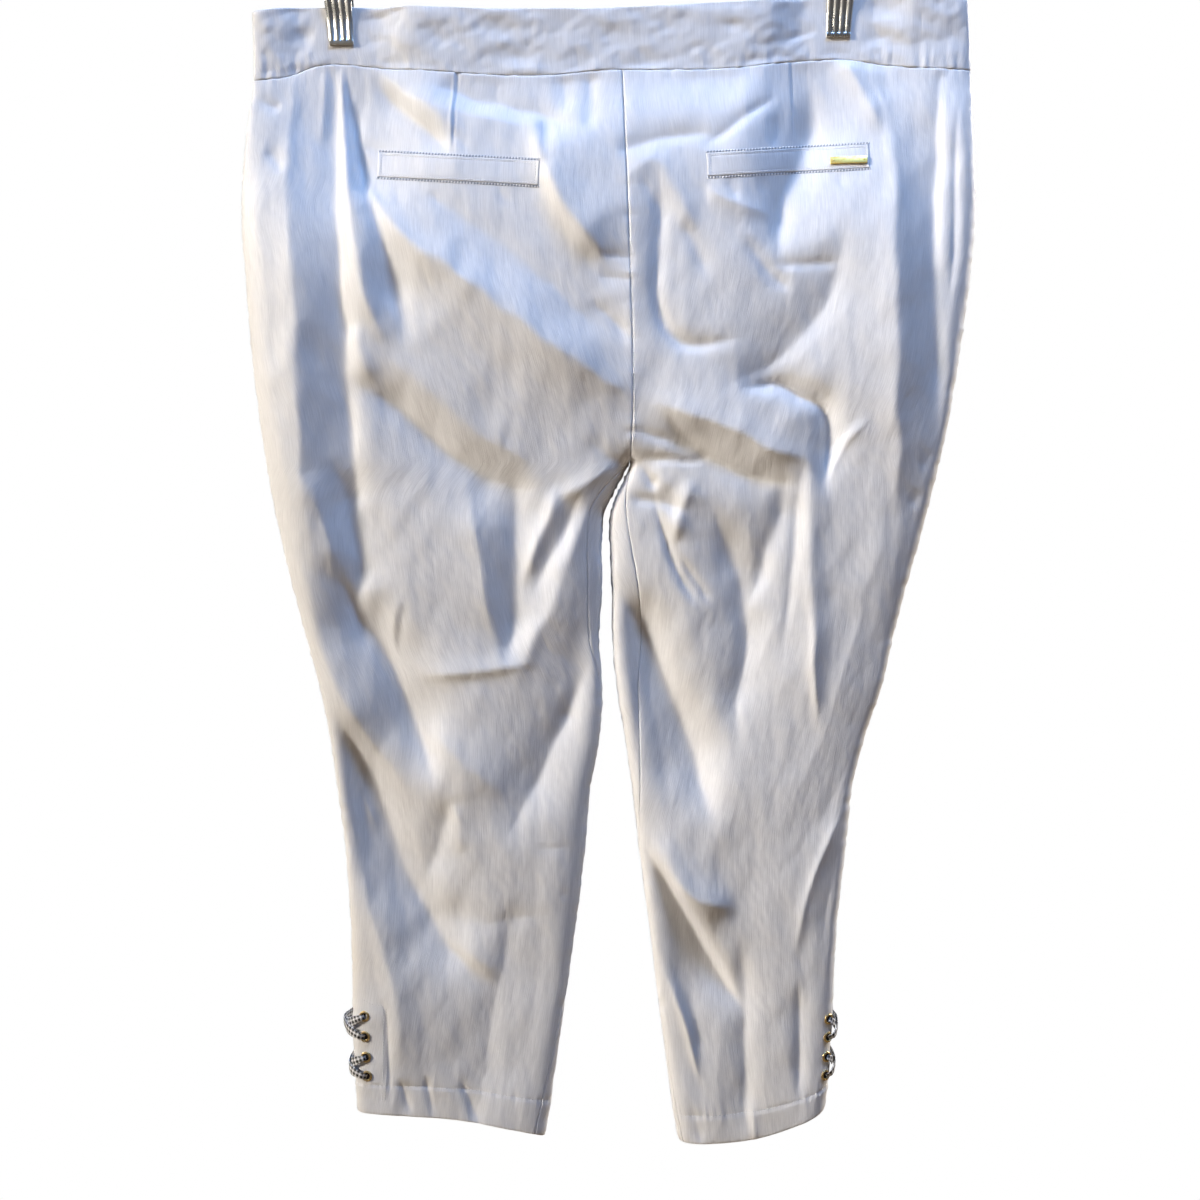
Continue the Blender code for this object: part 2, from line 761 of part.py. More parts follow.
def ribbon(name, leg, back, front, slack, over, finish_material):
    """A flat ribbon from one eyelet's hole, over the side seam, into another's."""
    way = round_the_side(leg, back, front)
    walked = [0.0]
    for (here, _), (there, _) in zip(way, way[1:]):
        walked.append(walked[-1] + (there - here).length)
    clear = GAP + RIBBON_THICKNESS / 2 + over * RIBBON_LAYER
    rim = EYELET_HEIGHT + GAP + clear
    knots = []
    for k in range(RIBBON_KNOTS):
        share = k / (RIBBON_KNOTS - 1)
        i = min(range(len(walked)), key=lambda n: abs(walked[n] - share * walked[-1]))
        point, outward = way[i]
        from_end = min(share, 1 - share)
        middle = smoothstep(0.12, 0.5, from_end)
        width = RIBBON_NECK_WIDTH + (RIBBON_WIDTH - RIBBON_NECK_WIDTH) * smoothstep(0, 0.2, from_end)
        knots.append((point + outward * (rim + (clear + slack - rim) * middle), outward, width))
    dips = [
        (row.seat + row.outward * (row.lift + RIBBON_DIP), row.outward, RIBBON_END_WIDTH)
        for row in (back, front)
    ]
    knots = [dips[0], *knots, dips[1]]
    rings = []
    for i, (knot, outward, width) in enumerate(knots):
        ahead = (knots[min(i + 1, len(knots) - 1)][0] - knots[max(i - 1, 0)][0]).normalized()
        if i in (0, len(knots) - 1):
            ahead = outward * (1 if i == 0 else -1)
            outward = Vector((leg, 0, 0))
        crosswise = ahead.cross(outward).normalized()
        if rings and crosswise.dot(rings[-1][1] - rings[-1][0]) < 0:
            crosswise.negate()
        outward = crosswise.cross(ahead).normalized()
        rings.append([
            knot + crosswise * (a * width / 2) + outward * (b * RIBBON_THICKNESS / 2)
            for a, b in ((-1, -1), (1, -1), (1, 1), (-1, 1))
        ])
    return loft(name, rings, finish_material, smooth=False)


def jaw_section(row, side, face):
    """A jaw's level section: a flat inner face and four ribs outside, or a flat lip."""
    middle = side * CLIP_LEAN * row.height / (CLIP_TIP_DROP - BAR_DROP)
    ring = [Vector((middle + end * row.half_width, face * row.stand_off, row.height)) for end in (1, -1)]
    pitch = 2 * row.half_width / JAW_RIBS
    groove = pitch * JAW_GROOVE_SHARE / 2
    for i in range(JAW_RIBS):
        start = middle - row.half_width + i * pitch
        corners = (
            (groove * 0.6, False),
            (groove * 1.4, True),
            (pitch - groove * 1.4, True),
            (pitch - groove * 0.6, False),
        )
        for offset, raised in corners:
            thickness = JAW_SHEET + (JAW_RIB if raised or row.lip else 0)
            ring.append(Vector((start + offset, face * (row.stand_off + thickness), row.height)))
    return ring


def jaw(name, side, face, finish_material):
    """One jaw of a clip: a ribbed plate with two ears that carry it on the bar."""
    made = loft(name, [jaw_section(row, side, face) for row in JAW_ROWS], finish_material)
    stand_off = JAW_ROWS[4].stand_off
    inset = 0 if face == BACK else EAR_THICKNESS + GAP
    seat = BAR_RADIUS + GAP
    root, half = face * (stand_off + EAR_ROOT), EAR_HEIGHT / 2
    outline = [Vector((0, root, half)), Vector((0, 0, half))]
    for degrees in range(0, 181, 30):
        angle = math.radians(degrees)
        outline.append(Vector((0, face * seat * math.sin(angle), seat * math.cos(angle))))
    outline += [Vector((0, 0, -half)), Vector((0, root, -half))]
    bm = bmesh.new()
    for end in (-1, 1):
        x = end * (JAW_ROWS[4].half_width - EAR_INSET - inset)
        first = bm.faces.new([bm.verts.new(point + Vector((x, 0, 0))) for point in outline])
        grown = bmesh.ops.extrude_face_region(bm, geom=[first], use_keep_orig=True)
        moved = [item for item in grown["geom"] if isinstance(item, bmesh.types.BMVert)]
        bmesh.ops.translate(bm, vec=(-end * EAR_THICKNESS, 0, 0), verts=moved)
    ears = finish(f"{name}_ears", bm, finish_material, smooth=False)
    ears.hide_render = True
    ears.display_type = "WIRE"
    joined = made.modifiers.new("ears", "BOOLEAN")
    joined.operation = "UNION"
    joined.object = ears
    for piece in (made, ears):
        piece.location = (side * CLIP_OFFSET * MM, 0, -BAR_DROP * MM)
    return made


def tube(name, points, radius, finish_material, sides=4):
    """A round wire through points, with closed ends."""
    curve = bpy.data.curves.new(name, "CURVE")
    curve.dimensions = "3D"
    curve.bevel_depth = radius * MM
    curve.bevel_resolution = sides // 2 - 1
    curve.use_fill_caps = True
    spline = curve.splines.new("POLY")
    spline.points.add(len(points) - 1)
    for target, point in zip(spline.points, points):
        target.co = (*(Vector(point) * MM), 1)
    curve.materials.append(finish_material)
    made = bpy.data.objects.new(name, curve)
    bpy.context.scene.collection.objects.link(made)
    return made


def turned(name, profile, steps, finish_material, hollow=False):
    """A body turned about the bar's axis from a profile of (x, radius): a ring where it is hollow."""
    spokes = [(math.sin(math.tau * k / steps), math.cos(math.tau * k / steps)) for k in range(steps)]
    if hollow:
        rings = [[Vector((x, a * radius, b * radius)) for x, radius in profile] for a, b in spokes]
    else:
        rings = [[Vector((x, a * radius, b * radius)) for a, b in spokes] for x, radius in profile]
    made = loft(name, rings, finish_material, closed=hollow)
    made.location.z = -BAR_DROP * MM
    return made


def hanger_bar(finish_material):
    """The rod that carries the clips, with a stop at each end."""
    length, stop = BAR_HALF_LENGTH, BAR_HALF_LENGTH - BAR_END_LENGTH
    half = [
        (length, BAR_END_RADIUS - BAR_END_BEVEL),
        (length - BAR_END_BEVEL, BAR_END_RADIUS),
        (stop, BAR_END_RADIUS),
        (stop - BAR_END_BEVEL, BAR_RADIUS),
    ]
    profile = [(-x, radius) for x, radius in half] + [(x, radius) for x, radius in reversed(half)]
    return turned("hanger_bar", profile, 12, finish_material)


def hanger_collar(finish_material):
    """The sleeve on the bar that the hook stands in."""
    half, bore = COLLAR_LENGTH / 2, BAR_RADIUS + GAP
    rim, edge = COLLAR_RADIUS - COLLAR_BEVEL, half - COLLAR_BEVEL
    outside = ((-half, rim), (-edge, COLLAR_RADIUS), (edge, COLLAR_RADIUS), (half, rim))
    profile = ((-half, bore), *outside, (half, bore))
    return turned("hanger_collar", profile, 16, finish_material, hollow=True)


def hanger_hook(finish_material):
    """The hook: up from the collar, then round the rail, open on the left."""
    radius = HOOK_INNER_RADIUS + HOOK_WIRE_RADIUS
    centre = Vector((0, 0, -HOOK_INNER_RADIUS))
    foot = -(BAR_DROP - COLLAR_RADIUS - GAP)
    start, sweep = math.radians(HOOK_START), math.radians(HOOK_SWEEP)
    first = centre + Vector((radius * math.cos(start), 0, radius * math.sin(start)))
    neck = Vector((0, 0, foot + HOOK_NECK))
    bend = neck + Vector((0, 0, HOOK_NECK))
    arrival = first - Vector((-math.sin(start), 0, math.cos(start))) * HOOK_NECK
    points = [Vector((0, 0, foot)), neck]
    for k in range(1, 8):
        t = k / 8
        onward = 1 - t
        points.append(
            neck * onward**3 + bend * 3 * t * onward**2 + arrival * 3 * t * t * onward + first * t**3
        )
    for k in range(27):
        angle = start + sweep * k / 26
        points.append(centre + Vector((radius * math.cos(angle), 0, radius * math.sin(angle))))
    return tube("hanger_hook", points, HOOK_WIRE_RADIUS, finish_material, sides=8)


def clip_spring(name, side, finish_material):
    """The spring that closes a clip: turns of wire round the bar."""
    points = []
    steps = SPRING_TURNS * 10
    for k in range(steps + 1):
        angle = math.tau * SPRING_TURNS * k / steps
        x = side * CLIP_OFFSET - SPRING_LENGTH / 2 + SPRING_LENGTH * k / steps
        points.append((x, SPRING_RADIUS * math.sin(angle), -BAR_DROP + SPRING_RADIUS * math.cos(angle)))
    return tube(name, points, SPRING_WIRE_RADIUS, finish_material)


def build_garment():
    cotton = material("cotton", (0.86, 0.86, 0.88), 0.62)
    brass = material("brass", (0.78, 0.6, 0.28), 0.3, 1.0)
    gingham = material("gingham", (0.3, 0.3, 0.3), 0.7)
    trees = {}
    for leg in (LEFT, RIGHT):
        made = panel(leg, BACK, BACK_COLUMNS, BACK_ROWS_ABOVE, BACK_ROWS_BELOW, cotton)
        trees[leg, BACK] = surface_of(made)
        made = panel(leg, FRONT, FRONT_COLUMNS, FRONT_ROWS_ABOVE, FRONT_ROWS_BELOW, cotton)
        trees[leg, FRONT] = surface_of(made)
        waistband(leg, BACK, BACK_COLUMNS, cotton)
        waistband(leg, FRONT, FRONT_COLUMNS, cotton)
    for row, leg in zip(WELTS, (LEFT, RIGHT)):
        made = welt(row, trees[leg, BACK], cotton)
    plate(surface_of(made), brass)
    build_lacing(trees, brass, gingham)


def build_lacing(trees, brass, gingham):
    """Eyelets beside each side seam, and the ribbons that cross between them."""
    seats = {}
    for row in EYELET_ROWS:
        for i, drop in enumerate(row.drops):
            seat, outward = eyelet_seat(row, drop, trees)
            side = "left" if row.leg == LEFT else "right"
            name = f"eyelet_{side}_{'back' if row.face == BACK else 'front'}_{i + 1}"
            lift = eyelet(name, seat, outward, trees[row.leg, row.face], brass)
            across = way_round(row.leg, drop, row.face, row.inset)
            seats[row.leg, row.face, i] = Seat(across, drop, seat, outward, lift)
    for row in LACINGS:
        side = "left" if row.leg == LEFT else "right"
        for over, (first, second) in enumerate(((row.upper, row.lower), (row.lower, row.upper))):
            ribbon(
                f"ribbon_{side}_{row.upper + 1}{'ab'[over]}",
                row.leg,
                seats[row.leg, BACK, first],
                seats[row.leg, FRONT, second],
                row.slack,
                over,
                gingham,
            )


def build_hanger():
    chrome = material("chrome", (0.72, 0.7, 0.66), 0.22, 1.0)
    hanger_bar(chrome)
    hanger_collar(chrome)
    hanger_hook(chrome)
    for side, word in ((LEFT, "left"), (RIGHT, "right")):
        for face, place in ((BACK, "back"), (FRONT, "front")):
            jaw(f"clip_{word}_{place}", side, face, chrome)
        clip_spring(f"clip_{word}_spring", side, chrome)


def main():
    for old in list(bpy.data.objects):
        bpy.data.objects.remove(old)
    build_garment()
    build_hanger()


main()
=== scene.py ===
"""White capri trousers on a clip hanger: the finished cloth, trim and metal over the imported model.

Sizes are millimetres, and a mesh becomes metres as it is finished. +Z is up, the trousers' back faces
-Y, and +X is on the right seen from behind. A "drop" is a distance below the origin, which is the
inside top of the hanger's hook. A depth is a distance from the plane of the side seams, y = 0. The
"elevation" is the flat view of one face from SIGHT_DISTANCE, on which folds and trim are drawn.
"""

from __future__ import annotations

import logging
import math
from collections.abc import Sequence
from dataclasses import dataclass, replace
from enum import Enum, IntEnum
from functools import lru_cache

import bmesh
import bpy
import numpy as np
from bmesh.types import BMesh
from bpy.types import Material, Object
from mathutils import Matrix, Vector
from mathutils.bvhtree import BVHTree


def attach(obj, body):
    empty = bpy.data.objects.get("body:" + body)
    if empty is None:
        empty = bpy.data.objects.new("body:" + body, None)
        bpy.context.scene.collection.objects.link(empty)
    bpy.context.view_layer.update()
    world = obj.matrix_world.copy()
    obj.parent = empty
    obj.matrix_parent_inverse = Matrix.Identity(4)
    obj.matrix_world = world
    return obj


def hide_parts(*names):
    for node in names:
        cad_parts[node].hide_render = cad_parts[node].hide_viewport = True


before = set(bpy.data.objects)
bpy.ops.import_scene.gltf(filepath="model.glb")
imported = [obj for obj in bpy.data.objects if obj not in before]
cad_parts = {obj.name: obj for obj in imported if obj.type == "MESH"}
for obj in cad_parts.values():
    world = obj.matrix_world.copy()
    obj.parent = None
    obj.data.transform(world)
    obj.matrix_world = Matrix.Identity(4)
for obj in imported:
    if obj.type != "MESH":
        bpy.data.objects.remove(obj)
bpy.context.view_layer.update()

log = logging.getLogger("trousers")

MM = 0.001
BODY = "root"

# Fits between neighbours
GAP = 0.3
HALF_GAP = GAP / 2

# The cut
BAND_WALL = 2.0
ROUNDNESS = 6.5
CROTCH_DROP = 487
CROTCH_RISE = 70
THIGH_RISE = 200
THIGH_FALL = 60
HEM_DROP = 1020
WAIST_DROP = 167
BAND_TOP_DROP = 110
SETTLE_DROP = 290
HEM_SWING = 90

# The hanger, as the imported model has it
BAR_DROP = 95
BAR_RADIUS = 3
CLIP_OFFSET = 206
CLIP_TIP_DROP = 141
CLIP_LEAN = 3
CLIP_FLAT = 27
CLIP_REACH = 38
CLIP_SPREAD = 0.35
CLIP_FADE = 200

# The elevation's eye
SIGHT_DISTANCE = 1150
SIGHT_X = 1
SIGHT_DROP = 598

# A fold's shape: the curve's steps between two given points, and shares of the fold's width
FOLD_STEPS = 6
FOLD_REACH = 3.4
FOLD_END = 0.3
FOLD_NARROW = 0.55
FOLD_CREST = 0.32
FOLD_CRISP = 2.4
FOLD_FLANK = 0.85
FOLD_FLOOR = 0.03

# The range in which a noise texture's values mostly lie
NOISE_SPAN = (0.3, 0.7)

X_AXIS = (1, 0, 0)
Z_AXIS = (0, 0, 1)
CAMERA_WHITE = (1, 1, 1, 1)


class Leg(IntEnum):
    """The garment's halves, by the sign of x."""

    LEFT = -1
    RIGHT = 1

    @property
    def word(self) -> str:
        """The half's name in lower case."""
        return self.name.lower()


class Face(IntEnum):
    """The garment's back and front, by the sign of y."""

    BACK = -1
    FRONT = 1

    @property
    def word(self) -> str:
        """The face's name in lower case."""
        return self.name.lower()


class Slot(Enum):
    """The material slots that the meshers hold."""

    COTTON = "cotton"
    GINGHAM = "gingham"
    BRASS = "brass"
    CHROME = "chrome"


@dataclass(frozen=True)
class Section:
    """A level section: the side seams' x, and how far the cloth stands off the seam plane."""

    drop: float
    outer_left: float
    outer_right: float
    back: float
    front: float


SECTIONS = (
    Section(110, -276, 310, 10, 10),
    Section(167, -276, 311, 9, 9),
    Section(210, -281, 311, 20, 17),
    Section(250, -284, 311, 27, 23),
    Section(290, -285, 310, 31, 27),
    Section(330, -282, 306, 33, 29),
    Section(390, -278, 297, 34, 30),
    Section(430, -274, 290, 34, 30),
    Section(470, -269, 282, 33, 30),
    Section(510, -263, 272, 32, 29),
    Section(550, -255, 261, 31, 29),
    Section(590, -246, 249, 30, 28),
    Section(630, -236, 238, 29, 28),
    Section(670, -226, 228, 29, 27),
    Section(710, -219, 214, 28, 27),
    Section(750, -214, 203, 28, 26),
    Section(790, -209, 198, 27, 26),
    Section(870, -205, 188, 26, 25),
    Section(950, -205, 183, 25, 24),
    Section(1010, -203, 178, 25, 23),
    Section(1050, -201, 171, 25, 22),
)


@dataclass(frozen=True)
class CentreSeam:
    """The centre back and centre front seam's x."""

    drop: float
    x: float


CENTRE_SEAM = (
    CentreSeam(110, 26),
    CentreSeam(170, 26),
    CentreSeam(310, 29),
    CentreSeam(430, 30),
    CentreSeam(487, 27),
)


@dataclass(frozen=True)
class Inseam:
    """Each leg's inner edge, and how far the front panel wraps round it on to the back."""

    drop: float
    left: float
    right: float
    wrap_left: float
    wrap_right: float


INSEAMS = (
    Inseam(487, 27, 27, 0, 0),
    Inseam(500, 20, 21, 5, 3),
    Inseam(512, 13, 15, 8, 6),
    Inseam(530, 5, 9, 9, 10),
    Inseam(590, 3, 10, 9, 14),
    Inseam(630, 0, 10, 6, 14),
    Inseam(670, 2, 13, 1, 11),
    Inseam(710, -1, 19, 0, 8),
    Inseam(750, -9, 24, 0, 5),
    Inseam(790, -13, 28, 0, 1),
    Inseam(870, -24, 37, 0, 0),
    Inseam(950, -37, 46, 3, 1),
    Inseam(1010, -48, 55, 6, 3),
    Inseam(1050, -55, 64, 6, 3),
)


@dataclass(frozen=True)
class Waist:
    """The waistband's top edge and the seam under it, which rise at the clips."""

    x: float
    top: float
    seam: float


WAIST = (
    Waist(-276, 113.5, 170.0),
    Waist(-248, 110.0, 166.5),
    Waist(-225, 109.5, 158.0),
    Waist(-204, 109.5, 156.5),
    Waist(-156, 111.5, 162.5),
    Waist(-74, 115.5, 169.5),
    Waist(-30, 116.0, 170.0),
    Waist(10, 116.5, 167.0),
    Waist(90, 114.0, 167.5),
    Waist(131, 112.5, 165.5),
    Waist(160, 110.5, 161.5),
    Waist(204, 107.5, 159.0),
    Waist(238, 109.0, 164.0),
    Waist(265, 111.0, 168.0),
    Waist(311, 113.5, 171.0),
)


@dataclass(frozen=True)
class Hem:
    """The hem's drop across each leg, from the side seam, 0, to the inseam, 1."""

    across: float
    left: float
    right: float


HEMS = (
    Hem(0.0, 1007, 1010),
    Hem(0.25, 1009, 1022),
    Hem(0.5, 1013, 1033),
    Hem(0.75, 1022, 1036),
    Hem(1.0, 1030, 1035),
)


@dataclass(frozen=True)
class Fold:
    """A soft ridge along points (x, drop) of the elevation, or a trough where its rise is negative.

    Right and left are the widths on either hand of someone who walks along the points, and spread
    is the width at the last point as a share of the width at the first.
    """

    rise: float
    right: float
    left: float
    points: tuple[tuple[float, float], ...]
    spread: float = 1

    def line(self) -> np.ndarray:
        """The points joined by a smooth curve, as short straight steps.

        Returns:
            Points by 2.
        """
        given = np.array(self.points, float)
        if len(given) == 2:
            return given
        padded = np.vstack([2 * given[0] - given[1], given, 2 * given[-1] - given[-2]])
        smooth = []
        for i in range(1, len(padded) - 2):
            before, here, there, after = padded[i - 1 : i + 3]
            for t in np.arange(FOLD_STEPS) / FOLD_STEPS:
                smooth.append(
                    here
                    + 0.5 * t * (there - before)
                    + t * t * (before - 2.5 * here + 2 * there - 0.5 * after)
                    + t**3 * (1.5 * (here - there) + 0.5 * (after - before))
                )
        return np.array([*smooth, given[-1]])

    def lift(self, x: np.ndarray, drop: np.ndarray) -> np.ndarray:
        """How far the fold raises the cloth at places of the elevation.

        Args:
            x: The places' x.
            drop: The places' drops, of the same shape.

        Returns:
            The rises, of the same shape.
        """
        raised = np.zeros_like(x)
        line = self.line()
        reach = FOLD_REACH * max(self.right, self.left) * max(1, self.spread)
        low, high = line.min(axis=0) - reach, line.max(axis=0) + reach
        near = (x > low[0]) & (x < high[0]) & (drop > low[1]) & (drop < high[1])
        if not near.any():
            return raised
        px, py = x[near], drop[near]
        steps = np.diff(line, axis=0)
        lengths = np.hypot(steps[:, 0], steps[:, 1])
        ways = np.concatenate([[0], np.cumsum(lengths)])
        nearest = np.full(px.shape, np.inf)
        hand, place = np.zeros_like(px), np.zeros_like(px)
        for (ax, ay), (dx, dy), length, start in zip(line, steps, lengths, ways):
            share = np.clip(((px - ax) * dx + (py - ay) * dy) / length**2, 0, 1)
            ox, oy = px - ax - share * dx, py - ay - share * dy
            distance = np.hypot(ox, oy)
            closer = distance < nearest
            nearest = np.where(closer, distance, nearest)
            hand = np.where(closer, dx * oy - dy * ox, hand)
            place = np.where(closer, (start + share * length) / ways[-1], place)
        taper = smoothstep(0, FOLD_END, place) * smoothstep(1, 1 - FOLD_END, place)
        width = np.where(hand > 0, self.right, self.left) * (1 + (self.spread - 1) * place)
        width = width * (FOLD_NARROW + (1 - FOLD_NARROW) * taper)
        crest = min(FOLD_CREST * min(self.right, self.left), FOLD_CRISP)
        flank = np.exp(-(np.hypot(nearest, crest) - crest) / (width * FOLD_FLANK))
        raised[near] = self.rise * taper * np.maximum(flank - FOLD_FLOOR, 0) / (1 - FOLD_FLOOR)
        return raised


